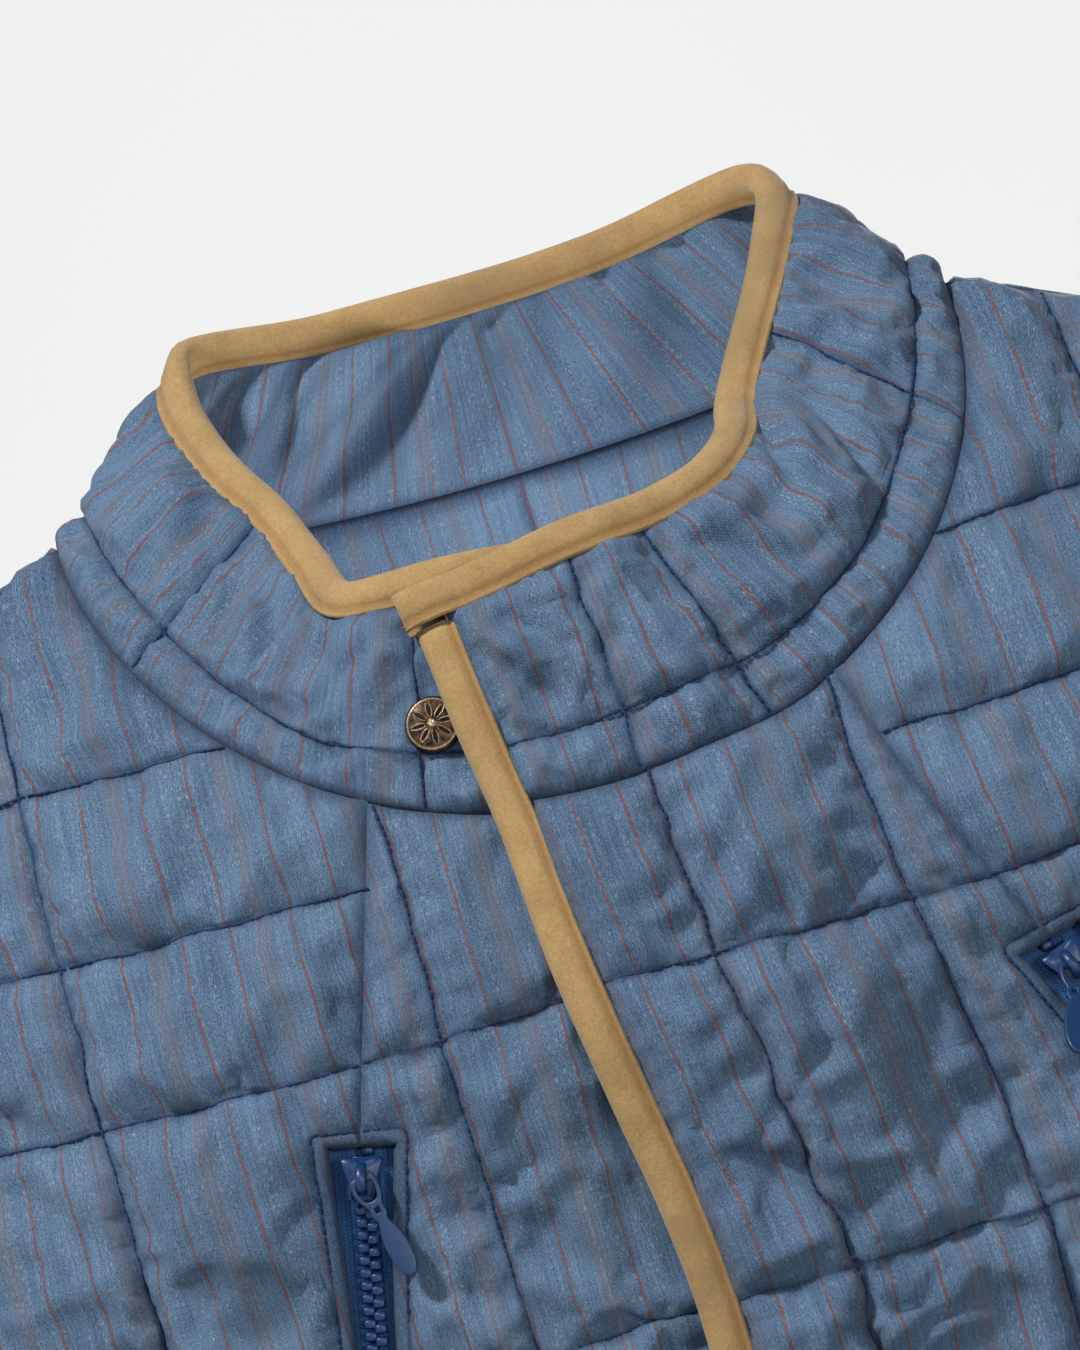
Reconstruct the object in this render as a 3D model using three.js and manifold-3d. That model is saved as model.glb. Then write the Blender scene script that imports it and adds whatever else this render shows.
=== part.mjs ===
// A quilted, padded vest with a stand collar, filled out as if worn, with no wearer in it.
// Units are millimetres. +Z is up, the wearer faces -Y, and +X is the wearer's left.
// The origin lies midway between the two side neck points, where the vest hangs on the shoulders.
//
// The vest is made as a tailor makes it. Each panel has a flat chart with two coordinates:
// `a`, the distance round the body from the centre line, and `z`, the height. A panel is cut
// out of its chart along an outline, quilted in squares and draped on the general figure.
import * as THREE from "three";
import Module from "manifold-3d";
import { mergeVertices } from "three/addons/utils/BufferGeometryUtils.js";

const wasm = await Module();
wasm.setup();

// ---------------------------------------------------------------- driving sizes

const HEM = -640; // height of the hem's lower edge
const GAP = 0.3; // between two pieces at a seam
const WALL_IN = 2.5; // cloth and padding inside the stitched surface
const STITCH_HEIGHT = 0.6; // outer face above the stitched surface, at a stitch line
const PUFF = 4.4; // how far a quilted square stands above its stitch lines
const PUFF_RISE = 6; // distance over which a square rises from a stitch line

const QUILT_PITCH = 83; // from one upright stitch line to the next
const ROW_PITCH = 75; // from one level stitch line to the next, below the chest
const CHEST_ROW = -129; // the level line just under the neck
const YOKE_ROWS = [-53, -92]; // closer level lines on the shoulder part of the outer front

const NECK = { halfWidth: 115, frontDrop: 88, backDrop: 17, left: 1.04, right: 1.25 };
const SHOULDER = { y: 12, slope: 0.47, start: 100, round: 14, tip: 221 };
const SIDE_Y = 5; // the side seam's place, front to back

// Round the body: half width, and depth to the front and to the back of the middle.
const BODY_ROWS = [
  { z: 20, width: 243, front: 104, back: 112 },
  { z: -150, width: 243, front: 104, back: 113 },
  { z: -200, width: 242, front: 110, back: 119 },
  { z: -260, width: 240, front: 117, back: 121 },
  { z: -340, width: 242, front: 120, back: 116 },
  { z: -450, width: 246, front: 120, back: 111 },
  { z: -560, width: 252, front: 123, back: 114 },
  { z: -650, width: 258, front: 127, back: 119 },
];
// How the chest and the back fall away from the shoulder seam: height taken, and two exponents.
const CHEST_FALL = { height: 165, curve: 1.7, crown: 0.85 };
const BACK_FALL = { height: 130, curve: 1.8, crown: 0.75 };

// Armholes, from the shoulder tip to the side seam.
const FRONT_ARMHOLE = [
  { a: 208, z: -80 },
  { a: 199, z: -120 },
  { a: 200, z: -160 },
  { a: 212, z: -197 },
  { a: 238, z: -228 },
  { a: 270, z: -248 },
];
const BACK_ARMHOLE = [
  { a: 213, z: -80 },
  { a: 209, z: -122 },
  { a: 213, z: -165 },
  { a: 230, z: -205 },
  { a: 252, z: -232 },
  { a: 278, z: -251 },
];
const ARMHOLE_BOTTOM = -258;

const OVERLAP = { edge: -29, stitch: 8, under: 25, lift: 7.5, flat: 20, fade: 30 };
const DRIFT = { top: -85, height: 125, width: 12 }; // the left front swings this far outwards
const BINDING = { width: 9, half: 3.4, clear: 0.8, clearOfCollar: 1.55 };

// The slanted seam that holds the pocket zip.
const SLANT = [
  { z: -60, a: 52 },
  { z: -146, a: 80 },
  { z: -190, a: 90 },
  { z: HEM, a: 196 },
];
const ZIP = { top: -146, bottom: -300, wide: 8.2, narrow: 5.6, narrowing: 45, under: 1.2, tape: 1.2 };
const CHAIN = { width: 5.8, height: 2.9 };

// The collar: the seam's angle round the neck (0 at the centre front, 180 at the centre back)
// and the collar's upper edge there. The first list lies over, the second one under.
const COLLAR_OVER = [
  { turn: -15, x: -38, y: -66, z: -34 },
  { turn: -6, x: -16, y: -65, z: -30 },
  { turn: 4, x: 5, y: -62, z: -26.5 },
  { turn: 25, x: 25, y: -54, z: -26 },
  { turn: 37, x: 41, y: -44, z: -23 },
  { turn: 47, x: 50, y: -30, z: -16.5 },
  { turn: 57, x: 52, y: -15, z: -9.5 },
  { turn: 68, x: 61, y: 0, z: 4.5 },
  { turn: 82, x: 72, y: 15, z: 19 },
  { turn: 97, x: 80, y: 31, z: 32 },
  { turn: 109, x: 75, y: 42, z: 37 },
  { turn: 120, x: 64, y: 48, z: 36.5 },
  { turn: 150, x: 30, y: 50, z: 32 },
  { turn: 180, x: 0, y: 50, z: 31.5 },
];
const COLLAR_UNDER = [
  { turn: -12, x: 20, y: -44, z: -30.5 },
  { turn: 2, x: -3, y: -49, z: -29 },
  { turn: 16, x: -23, y: -55, z: -27 },
  { turn: 28, x: -37, y: -53, z: -28 },
  { turn: 38, x: -49, y: -44, z: -28 },
  { turn: 50, x: -52, y: -27, z: -19 },
  { turn: 65, x: -57, y: -10, z: -5.5 },
  { turn: 80, x: -65.5, y: 5, z: 5.5 },
  { turn: 93, x: -72, y: 21, z: 20 },
  { turn: 104, x: -73, y: 34, z: 31 },
  { turn: 114, x: -69, y: 43, z: 35 },
  { turn: 124, x: -59, y: 47, z: 35 },
  { turn: 150, x: -34, y: 50, z: 32 },
  { turn: 180, x: 0, y: 50, z: 31.5 },
];
const COLLAR = { height: 62, above: 3.5, bulge: 1, line: 0.24, start: 0.017, puff: 3.6 };
const COLLAR_LINES_OVER = [3.6, 20, 68, 125]; // turns of the upright stitch lines
const COLLAR_LINES_UNDER = [22.5, 64, 125];

// ---------------------------------------------------------------- small helpers

const clamp = THREE.MathUtils.clamp;
const radians = THREE.MathUtils.degToRad;
const smoothstep = (t) => THREE.MathUtils.smoothstep(t, 0, 1);

// A smooth curve through a table's rows: key is read at `at`, which rises or falls steadily.
function column(rows, key, at = "z") {
  const sorted = [...rows].sort((p, q) => p[at] - q[at]);
  const x = sorted.map((row) => row[at]);
  const y = sorted.map((row) => row[key]);
  const last = x.length - 1;
  const slopes = x.map((_, i) => {
    if (i === 0) return (y[1] - y[0]) / (x[1] - x[0]);
    if (i === last) return (y[last] - y[last - 1]) / (x[last] - x[last - 1]);
    return (y[i + 1] - y[i - 1]) / (x[i + 1] - x[i - 1]);
  });
  return (value) => {
    if (value <= x[0]) return y[0] + slopes[0] * (value - x[0]);
    if (value >= x[last]) return y[last] + slopes[last] * (value - x[last]);
    const i = x.findIndex((knot) => knot > value) - 1;
    const span = x[i + 1] - x[i];
    const t = (value - x[i]) / span;
    const t2 = t * t;
    const t3 = t2 * t;
    return (
      (2 * t3 - 3 * t2 + 1) * y[i] +
      (t3 - 2 * t2 + t) * span * slopes[i] +
      (3 * t2 - 2 * t3) * y[i + 1] +
      (t3 - t2) * span * slopes[i + 1]
    );
  };
}

// Straight lines between a table's rows.
function broken(rows, key, at = "z") {
  const sorted = [...rows].sort((p, q) => p[at] - q[at]);
  return (value) => {
    let i = sorted.findIndex((row) => row[at] >= value);
    i = clamp(i < 0 ? sorted.length - 1 : i, 1, sorted.length - 1);
    const [low, high] = [sorted[i - 1], sorted[i]];
    return low[key] + ((high[key] - low[key]) * (value - low[at])) / (high[at] - low[at]);
  };
}

// Evenly spaced numbers from first to last.
function steps(first, last, count) {
  return Array.from({ length: count + 1 }, (_, i) => first + ((last - first) * i) / count);
}

// ---------------------------------------------------------------- the general figure

const SEAM_DOWN = 0.04; // the shoulder seam's edges lie this far below its line
const NECK_CLEAR = 0.3; // the body's cloth stops this far below the neck seam

const bodyWidth = column(BODY_ROWS, "width");
const bodyFront = column(BODY_ROWS, "front");
const bodyBack = column(BODY_ROWS, "back");

const ROUND = 0.8; // exponent of the rounded-square section, 1 for an ellipse
const REFERENCE = { width: 243, depth: 114 };
const ANGLE_STEPS = 240;

// Distance round the reference section from the centre line, at equal steps of its angle.
const roundLengths = [0];
for (let i = 1; i <= ANGLE_STEPS; i++) {
  const at = (k) => {
    const angle = (k / ANGLE_STEPS) * (Math.PI / 2);
    return [REFERENCE.width * Math.sin(angle) ** ROUND, REFERENCE.depth * Math.cos(angle) ** ROUND];
  };
  const [before, now] = [at(i - 1), at(i)];
  roundLengths.push(roundLengths[i - 1] + Math.hypot(now[0] - before[0], now[1] - before[1]));
}
const SIDE = roundLengths[ANGLE_STEPS]; // the side seam's distance round the body

// The section's angle at a distance round the body, 0 at the centre line, a quarter turn at the side.
function sectionAngle(a) {
  const along = clamp(Math.abs(a), 0, SIDE);
  let i = roundLengths.findIndex((length) => length >= along);
  i = Math.max(i, 1);
  const part = (along - roundLengths[i - 1]) / (roundLengths[i] - roundLengths[i - 1]);
  return ((i - 1 + part) / ANGLE_STEPS) * (Math.PI / 2);
}

// Height of the shoulder line, level across the neck and falling to the tip.
function shoulderHeight(x) {
  const { slope, start, round } = SHOULDER;
  const fall = (from) => slope * round * Math.log(1 + Math.exp((from - start) / round));
  return fall(NECK.halfWidth) - fall(Math.abs(x));
}

// A point of the stitched surface. Side -1 is the front and 1 the back.
function bodyPoint(side, a, z) {
  const angle = sectionAngle(a);
  const x = Math.sign(a) * bodyWidth(z) * Math.sin(angle) ** ROUND;
  const depth = side < 0 ? -bodyFront(z) : bodyBack(z);
  const full = SIDE_Y + (depth - SIDE_Y) * Math.cos(angle) ** ROUND;
  const fall = side < 0 ? CHEST_FALL : BACK_FALL;
  const down = clamp((shoulderHeight(x) - z) / fall.height, 0, 1);
  const share = (1 - (1 - down) ** fall.curve) ** fall.crown;
  return new THREE.Vector3(x, SHOULDER.y + (full - SHOULDER.y) * share, z);
}

// The outward direction of the stitched surface; straight up along the shoulder seam.
function bodyNormal(side, a, z) {
  const step = 0.6;
  const inwards = a < 0 ? 1 : -1;
  const here = bodyPoint(side, a, z);
  const across = bodyPoint(side, a + inwards * step, z).sub(here).multiplyScalar(inwards);
  const below = bodyPoint(side, a, z - step).sub(here);
  const normal = below.cross(across).multiplyScalar(side < 0 ? 1 : -1).normalize();
  const fromSeam = (shoulderHeight(here.x) - z) / 8;
  return new THREE.Vector3(0, 0, 1).lerp(normal, smoothstep(fromSeam)).normalize();
}

// The distance round the body of a point at x across and z high.
function chartOf(x, z) {
  const share = clamp(Math.abs(x) / bodyWidth(z), 0, 1);
  const angle = Math.asin(share ** (1 / ROUND));
  const at = (angle / (Math.PI / 2)) * ANGLE_STEPS;
  const i = Math.min(Math.floor(at), ANGLE_STEPS - 1);
  return Math.sign(x) * THREE.MathUtils.lerp(roundLengths[i], roundLengths[i + 1], at - i);
}

const drift = (z) => DRIFT.width * smoothstep((DRIFT.top - z) / DRIFT.height);
// The left front is raised where it lies over the right one.
const lift = (a) => OVERLAP.lift * (1 - smoothstep((a - OVERLAP.flat) / OVERLAP.fade));

// ---------------------------------------------------------------- cutting and draping

// Splits an outline's edges wherever they cross one of the chart's grid lines. An open
// outline has no edge from its last point back to its first.
function splitAtLines(outline, columns, rows, open = false) {
  const out = [];
  outline.forEach((p, i) => {
    const q = outline[(i + 1) % outline.length];
    if (open && i === outline.length - 1) {
      out.push(p);
      return;
    }
    const cuts = [];
    [columns, rows].forEach((lines, axis) => {
      for (const line of lines) {
        if ((p[axis] - line) * (q[axis] - line) < 0) {
          const t = (line - p[axis]) / (q[axis] - p[axis]);
          const point = [p[0] + t * (q[0] - p[0]), p[1] + t * (q[1] - p[1])];
          point[axis] = line;
          cuts.push({ t, point });
        }
      }
    });
    cuts.sort((c, d) => c.t - d.t);
    out.push(p, ...cuts.map((cut) => cut.point));
  });
  return out;
}

// The part of a polygon on one side of a grid line.
function clip(polygon, axis, line, sign) {
  const out = [];
  polygon.forEach((p, i) => {
    const q = polygon[(i + 1) % polygon.length];
    const [dp, dq] = [sign * (p[axis] - line), sign * (q[axis] - line)];
    if (dp >= 0) out.push(p);
    if (dp * dq < 0) {
      const t = dp / (dp - dq);
      const point = [p[0] + t * (q[0] - p[0]), p[1] + t * (q[1] - p[1])];
      point[axis] = line;
      out.push(point);
    }
  });
  return out;
}

function area(polygon) {
  return polygon.reduce((sum, p, i) => {
    const q = polygon[(i + 1) % polygon.length];
    return sum + (p[0] * q[1] - q[0] * p[1]) / 2;
  }, 0);
}

// Distance from a point to the nearest edge of an outline.
function edgeDistance([x, y], outline) {
  let best = Infinity;
  outline.forEach((p, i) => {
    const q = outline[(i + 1) % outline.length];
    const [dx, dy] = [q[0] - p[0], q[1] - p[1]];
    const t = clamp(((x - p[0]) * dx + (y - p[1]) * dy) / (dx * dx + dy * dy || 1), 0, 1);
    best = Math.min(best, Math.hypot(x - p[0] - t * dx, y - p[1] - t * dy));
  });
  return best;
}

// Cuts the outline out of a gridded chart and makes a wall of it. `place` gives, for a point of
// the chart, the pair of points on the wall's outer and inner face.
function wallFromChart(outline, columns, rows, place) {
  const points = [];
  const ids = new Map();
  const idOf = (p) => {
    const key = p[0].toFixed(3) + "," + p[1].toFixed(3);
    if (!ids.has(key)) {
      ids.set(key, points.length);
      points.push(p);
    }
    return ids.get(key);
  };
  const turned = area(outline) < 0 ? [...outline].reverse() : outline;
  const split = splitAtLines(turned, columns, rows);
  const triangles = [];
  for (let i = 0; i + 1 < columns.length; i++) {
    const strip = clip(clip(split, 0, columns[i], 1), 0, columns[i + 1], -1);
    if (strip.length < 3) continue;
    for (let j = 0; j + 1 < rows.length; j++) {
      const cell = clip(clip(strip, 1, rows[j], 1), 1, rows[j + 1], -1);
      const corners = [...new Set(cell.map(idOf))];
      const shape = corners.map((id) => new THREE.Vector2(...points[id]));
      if (shape.length < 3 || Math.abs(THREE.ShapeUtils.area(shape)) < 0.02) continue;
      for (const face of THREE.ShapeUtils.triangulateShape(shape, [])) {
        triangles.push(face.map((k) => corners[k]));
      }
    }
  }
  return solidWall(points, triangles, place);
}

// Joins an outer face, an inner face and the rim between them into one closed mesh.
function solidWall(points, triangles, place) {
  const count = points.length;
  const positions = new Float32Array(count * 6);
  points.forEach((p, i) => {
    const [outer, inner] = place(p[0], p[1]);
    outer.toArray(positions, i * 3);
    inner.toArray(positions, (count + i) * 3);
  });
  const index = [];
  const open = new Map();
  for (const [p, q, r] of triangles) {
    index.push(p, q, r, count + p, count + r, count + q);
    for (const [from, to] of [[p, q], [q, r], [r, p]]) {
      const back = to + "," + from;
      if (open.has(back)) open.delete(back);
      else open.set(from + "," + to, [from, to]);
    }
  }
  for (const [from, to] of open.values()) {
    index.push(from, count + from, to, to, count + from, count + to);
  }
  const geometry = new THREE.BufferGeometry();
  geometry.setAttribute("position", new THREE.BufferAttribute(positions, 3));
  geometry.setIndex(index);
  return facingOut(geometry);
}

// Turns a closed mesh's faces round if its volume comes out negative.
function facingOut(geometry) {
  const position = geometry.getAttribute("position");
  const index = geometry.index.array;
  const [p, q, r] = [new THREE.Vector3(), new THREE.Vector3(), new THREE.Vector3()];
  let volume = 0;
  for (let i = 0; i < index.length; i += 3) {
    p.fromBufferAttribute(position, index[i]);
    q.fromBufferAttribute(position, index[i + 1]);
    r.fromBufferAttribute(position, index[i + 2]);
    volume += p.dot(q.cross(r));
  }
  if (volume < 0) {
    for (let i = 0; i < index.length; i += 3) {
      [index[i + 1], index[i + 2]] = [index[i + 2], index[i + 1]];
    }
  }
  geometry.computeVertexNormals();
  return geometry;
}

// A short bar: a flat outline pushed up by `height`, centred on its own level.
function plate(outline, height) {
  const shape = new THREE.Shape(outline.map(([x, y]) => new THREE.Vector2(x, y)));
  const geometry = new THREE.ExtrudeGeometry(shape, { depth: height, bevelEnabled: false, steps: 1 });
  geometry.translate(0, 0, -height / 2);
  return geometry;
}

// A mesh as a manifold solid, and back again.
function solidOf(geometry) {
  const plain = geometry.clone();
  for (const name of ["normal", "uv"]) plain.deleteAttribute(name);
  const merged = mergeVertices(plain, 1e-4);
  const vertProperties = new Float32Array(merged.getAttribute("position").array);
  const triVerts = new Uint32Array(merged.index.array);
  return new wasm.Manifold(new wasm.Mesh({ numProp: 3, vertProperties, triVerts }));
}

function geometryOf(solid) {
  const mesh = solid.getMesh();
  const geometry = new THREE.BufferGeometry();
  geometry.setAttribute("position", new THREE.Float32BufferAttribute(mesh.vertProperties, 3));
  geometry.setIndex([...mesh.triVerts]);
  return facingOut(geometry);
}

function joined(geometries) {
  return geometryOf(geometries.map(solidOf).reduce((whole, next) => whole.add(next)));
}

// Grid lines: each stitch line, a line close on either side of it, and one in the middle if asked.
function quiltGrid(lines, first, last, close, middle, extra = []) {
  const inside = lines.filter((line) => line > first && line < last);
  const knots = [first, ...inside, last].sort((p, q) => p - q);
  const grid = new Set([...knots, ...extra]);
  for (let i = 0; i + 1 < knots.length; i++) {
    const span = knots[i + 1] - knots[i];
    if (span > 2.6 * close) {
      grid.add(knots[i] + close);
      grid.add(knots[i + 1] - close);
      if (middle && span > 3.6 * close) grid.add((knots[i] + knots[i + 1]) / 2);
    } else if (span > close) {
      grid.add((knots[i] + knots[i + 1]) / 2);
    }
  }
  return [...grid].sort((p, q) => p - q);
}

// The outer face's height over the stitched surface, from the distances to the nearest lines.
function quiltHeight(distances, puff = PUFF) {
  return distances.reduce((h, d) => h * (1 - Math.exp(-d / PUFF_RISE)), puff) + STITCH_HEIGHT;
}

const nearest = (value, lines) => Math.min(...lines.map((line) => Math.abs(value - line)));

// ---------------------------------------------------------------- outlines

const slantAt = broken(SLANT, "a");

// Half the width of the opening that the pocket zip fills; 0 above and below it.
function zipHalf(z) {
  if (z > ZIP.top || z < ZIP.bottom) return 0;
  const down = smoothstep((ZIP.top - z) / ZIP.narrowing);
  return ZIP.wide + (ZIP.narrow - ZIP.wide) * down;
}

// The slanted seam from top to hem, on its inner (-1) or outer (1) side, round the zip.
function slantEdge(side, top, bottom, hand) {
  const shift = (z) => (hand > 0 ? drift(z) : 0);
  const opening = [ZIP.top, ...steps(ZIP.top - 15, ZIP.top - ZIP.narrowing, 2), -240, ZIP.bottom];
  const seam = (z) => [slantAt(z) + shift(z) + (side * GAP) / 2, z];
  return [
    seam(top),
    seam(-110),
    seam(ZIP.top + 0.02),
    ...opening.map((z) => [slantAt(z) + shift(z) + side * (zipHalf(z) + GAP / 2), z]),
    seam(ZIP.bottom - 0.02),
    seam(-420),
    seam(-530),
    seam(bottom),
  ];
}

// The neck seam on the front between two turns, from the centre outwards.
function neckEdge(from, to, count, hand, side = -1) {
  return steps(from, to, count).map((turn) => {
    const { x, z } = neckPlace(turn, hand, side);
    return [chartOf(x, z) * hand, z - NECK_CLEAR];
  });
}

// Across and up, the neck seam's place at a turn round the neck; hand 1 is the wearer's left.
function neckPlace(turn, hand, side) {
  const drop = side < 0 ? NECK.frontDrop : NECK.backDrop;
  const shape = hand > 0 ? NECK.left : NECK.right;
  const x = hand * NECK.halfWidth * Math.sin(radians(turn));
  return { x, z: -drop * Math.max(Math.cos(radians(turn)), 0) ** shape };
}

function shoulderEdge(count) {
  const start = chartOf(NECK.halfWidth, 0);
  return steps(start, SHOULDER.tip, count).map((a) => {
    const x = bodyWidth(-20) * Math.sin(sectionAngle(a)) ** ROUND;
    return [a, shoulderHeight(x) - SEAM_DOWN];
  });
}

// The armhole's edge, set back by the binding's width.
function armholeEdge(knots, inset, count) {
  const shoulder = (a) => shoulderHeight(bodyWidth(-20) * Math.sin(sectionAngle(a)) ** ROUND);
  const route = new THREE.CatmullRomCurve3([
    new THREE.Vector3(SHOULDER.tip, shoulder(SHOULDER.tip), 0),
    ...knots.map((knot) => new THREE.Vector3(knot.a, knot.z, 0)),
    new THREE.Vector3(SIDE, ARMHOLE_BOTTOM, 0),
  ]);
  const points = route.getSpacedPoints(count);
  return points.map((p, i) => {
    const before = points[Math.max(i - 1, 0)];
    const after = points[Math.min(i + 1, count)];
    const along = after.clone().sub(before).normalize();
    if (i === 0) return [p.x - inset, shoulder(p.x - inset) - SEAM_DOWN];
    if (i === count) return [p.x, p.y - inset];
    return [p.x + along.y * inset, p.y - along.x * inset];
  });
}

const BOTTOM = HEM + BINDING.width; // where the cloth ends and the hem's binding begins
const bodyRows = [];
for (let z = CHEST_ROW; z > HEM + ROW_PITCH / 2; z -= ROW_PITCH) bodyRows.push(z);
const uprights = (first) => [0, 1, 2, 3].map((i) => first + QUILT_PITCH * i);
const SHOULDER_LEVELS = [-5, -15, -27, -36, -46, -58]; // extra rows where the cloth turns over the shoulder
const FRONT_UPRIGHTS = uprights(55);
const BACK_UPRIGHTS = uprights(0);

// A panel's own quilting turns with the front edge it hangs from.
const shiftOf = (spec) => (spec.drifts ? drift : () => 0);

function panelGrid({ lines, rows, first, last }) {
  return {
    columns: quiltGrid(lines, first, last, 12, true),
    levels: quiltGrid([...rows, YOKE_ROWS[1]], BOTTOM - 1, 30, 12, false, SHOULDER_LEVELS),
  };
}

// A body panel, drawn for the wearer's left and mirrored by `hand` for the right.
function bodyPanel(spec) {
  const { side, hand, outline, lines, rows, puffAt, raised } = spec;
  const shift = shiftOf(spec);
  const cut = outline.map(([a, z]) => [a - shift(z), z]);
  const { columns, levels } = panelGrid(spec);
  return wallFromChart(cut, columns, levels, (g, z) => {
    const a = (g + shift(z)) * hand;
    const distances = [nearest(g, lines), nearest(z, rows), edgeDistance([g, z], cut)];
    const height = quiltHeight(distances, puffAt ? puffAt(a) : PUFF);
    const base = bodyPoint(side, a, z);
    const normal = bodyNormal(side, a, z);
    const up = raised ? lift(a) : 0;
    return [
      base.clone().addScaledVector(normal, up + height),
      base.clone().addScaledVector(normal, up - WALL_IN),
    ];
  });
}

// The same points along an edge that the panel's own wall has there.
function edgeOf(spec, edge) {
  const shift = shiftOf(spec);
  const { columns, levels } = panelGrid(spec);
  const cut = edge.map(([a, z]) => [a - shift(z), z]);
  return splitAtLines(cut, columns, levels, true).map(([g, z]) => [g + shift(z), z]);
}

const frontSideEdge = [[SIDE - GAP / 2, ARMHOLE_BOTTOM - BINDING.width], [SIDE - GAP / 2, BOTTOM]];
const armCut = armholeEdge(FRONT_ARMHOLE, BINDING.width, 22);
const backArmCut = armholeEdge(BACK_ARMHOLE, BINDING.width, 22);
const SLANT_TURN = 30.5; // where the slanted seam meets the neck seam

function outerFront(hand) {
  const neck = neckEdge(SLANT_TURN, 89, 8, hand);
  neck[0][0] = slantAt(neck[0][1]) + GAP / 2;
  const outline = [
    ...neck,
    ...shoulderEdge(6).slice(1, -1),
    ...armCut.slice(0, -1),
    ...frontSideEdge,
    ...slantEdge(1, neck[0][1], BOTTOM, hand).slice(1).reverse(),
  ];
  return {
    side: -1,
    hand,
    outline,
    lines: FRONT_UPRIGHTS,
    rows: [...YOKE_ROWS, ...bodyRows],
    first: 40,
    last: SIDE + 1,
    drifts: hand > 0,
  };
}

function innerFront(hand) {
  const over = hand > 0;
  const edgeAt = over ? OVERLAP.edge + BINDING.width : -OVERLAP.under + BINDING.width;
  const shift = (z) => (over ? drift(z) : 0);
  const turn = (a) => THREE.MathUtils.radToDeg(Math.asin(a / NECK.halfWidth));
  const neck = neckEdge(turn(edgeAt), SLANT_TURN, 8, hand);
  neck[neck.length - 1][0] = slantAt(neck[neck.length - 1][1]) - GAP / 2;
  const edge = steps(neck[0][1], BOTTOM, 12).map((z) => [edgeAt + shift(z), z]);
  const outline = [
    ...edge.slice(1).reverse(),
    ...neck,
    ...slantEdge(-1, neck[neck.length - 1][1], BOTTOM, hand).slice(1),
  ];
  const lines = over ? [OVERLAP.stitch, ...FRONT_UPRIGHTS] : FRONT_UPRIGHTS;
  return {
    side: -1,
    hand,
    outline,
    edge,
    lines,
    rows: bodyRows,
    first: edgeAt - 1,
    last: SIDE + 1,
    raised: over,
    drifts: over,
    puffAt: over ? null : (a) => PUFF * (1 - 0.55 * smoothstep((a + 50) / 30)),
  };
}

function back() {
  const half = (hand) => [
    ...neckEdge(2, 89, 8, hand, 1),
    ...shoulderEdge(6).slice(1, -1),
    ...backArmCut.slice(0, -1),
    ...frontSideEdge,
  ];
  const outline = [...half(1), ...half(-1).map(([a, z]) => [-a, z]).reverse()];
  const lines = [...BACK_UPRIGHTS, ...BACK_UPRIGHTS.slice(1).map((a) => -a)];
  return {
    side: 1,
    hand: 1,
    outline,
    lines,
    rows: [CHEST_ROW + ROW_PITCH, ...bodyRows],
    first: -SIDE - 1,
    last: SIDE + 1,
  };
}

const panels = {
  back: back(),
  left_front_inner: innerFront(1),
  left_front_outer: outerFront(1),
  right_front_inner: innerFront(-1),
  right_front_outer: outerFront(-1),
};

// ---------------------------------------------------------------- collar

// The neck seam at a turn round the neck; hand 1 is the wearer's left.
function neckSeam(turn, hand, over) {
  const front = turn < 90;
  const side = front ? -1 : 1;
  const { x, z } = neckPlace(front ? turn : 180 - turn, hand, side);
  const a = chartOf(x, z);
  const up = over && front ? lift(a) : 0;
  return bodyPoint(side, a, z).addScaledVector(bodyNormal(side, a, z), up);
}

function collarHalf(stations, hand, over) {
  const edge = ["x", "y", "z"].map((key) => column(stations, key, "turn"));
  const point = (turn, v) => {
    const foot = neckSeam(turn, hand, over);
    const head = new THREE.Vector3(...edge.map((read) => read(turn)));
    head.z += COLLAR.above;
    const out = new THREE.Vector3(foot.x, foot.y - 10, 0).normalize();
    return foot.lerp(head, v).addScaledVector(out, COLLAR.bulge * Math.sin(Math.PI * v));
  };
  const normal = (turn, v) => {
    const along = point(turn + 0.5, v).sub(point(turn - 0.5, v));
    const upward = point(turn, v + 0.02).sub(point(turn, v - 0.02));
    const out = along.cross(upward).normalize();
    const from = point(turn, v);
    return out.dot(new THREE.Vector3(from.x, from.y, 0)) < 0 ? out.negate() : out;
  };
  return { point, normal };
}

const overHalf = collarHalf(COLLAR_OVER, 1, true);
const underHalf = collarHalf(COLLAR_UNDER, -1, false);
const COLLAR_END = { over: COLLAR_OVER[0].turn, under: COLLAR_UNDER[0].turn };

// The whole collar runs from the under end (-under), round the back (0) to the over end.
// `along` is 180 less the turn, negative on the wearer's right.
function collarAt(along, v) {
  const half = along < 0 ? underHalf : overHalf;
  const turn = 180 - Math.abs(along);
  return { point: half.point(turn, v), normal: half.normal(turn, v) };
}

const COLLAR_TOP = 1 - BINDING.width / COLLAR.height;
const COLLAR_LEVELS = [COLLAR.start, 0.12, COLLAR.line, 0.37, 0.6, COLLAR_TOP];
const overEnd = 180 - COLLAR_END.over;
const underEnd = -(180 - COLLAR_END.under);
const endInset = 4.6; // the front bindings' width, in degrees round the neck

const collarLines = [
  ...COLLAR_LINES_OVER.map((turn) => 180 - turn),
  ...COLLAR_LINES_UNDER.map((turn) => turn - 180),
  0,
];

function collarColumns() {
  const columns = quiltGrid(collarLines, underEnd + endInset, overEnd - endInset, 6, true);
  const extra = columns.flatMap((c, i) => (columns[i + 1] - c > 6 ? [(c + columns[i + 1]) / 2] : []));
  return [...columns, ...extra].sort((p, q) => p - q);
}

const BUTTON = { along: -159.8, v: 0.345, radius: 6.75, rise: 2.8, clear: 0.85, recess: 13 };
const perDegree = 2.6; // collar cloth per degree round the neck

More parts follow.
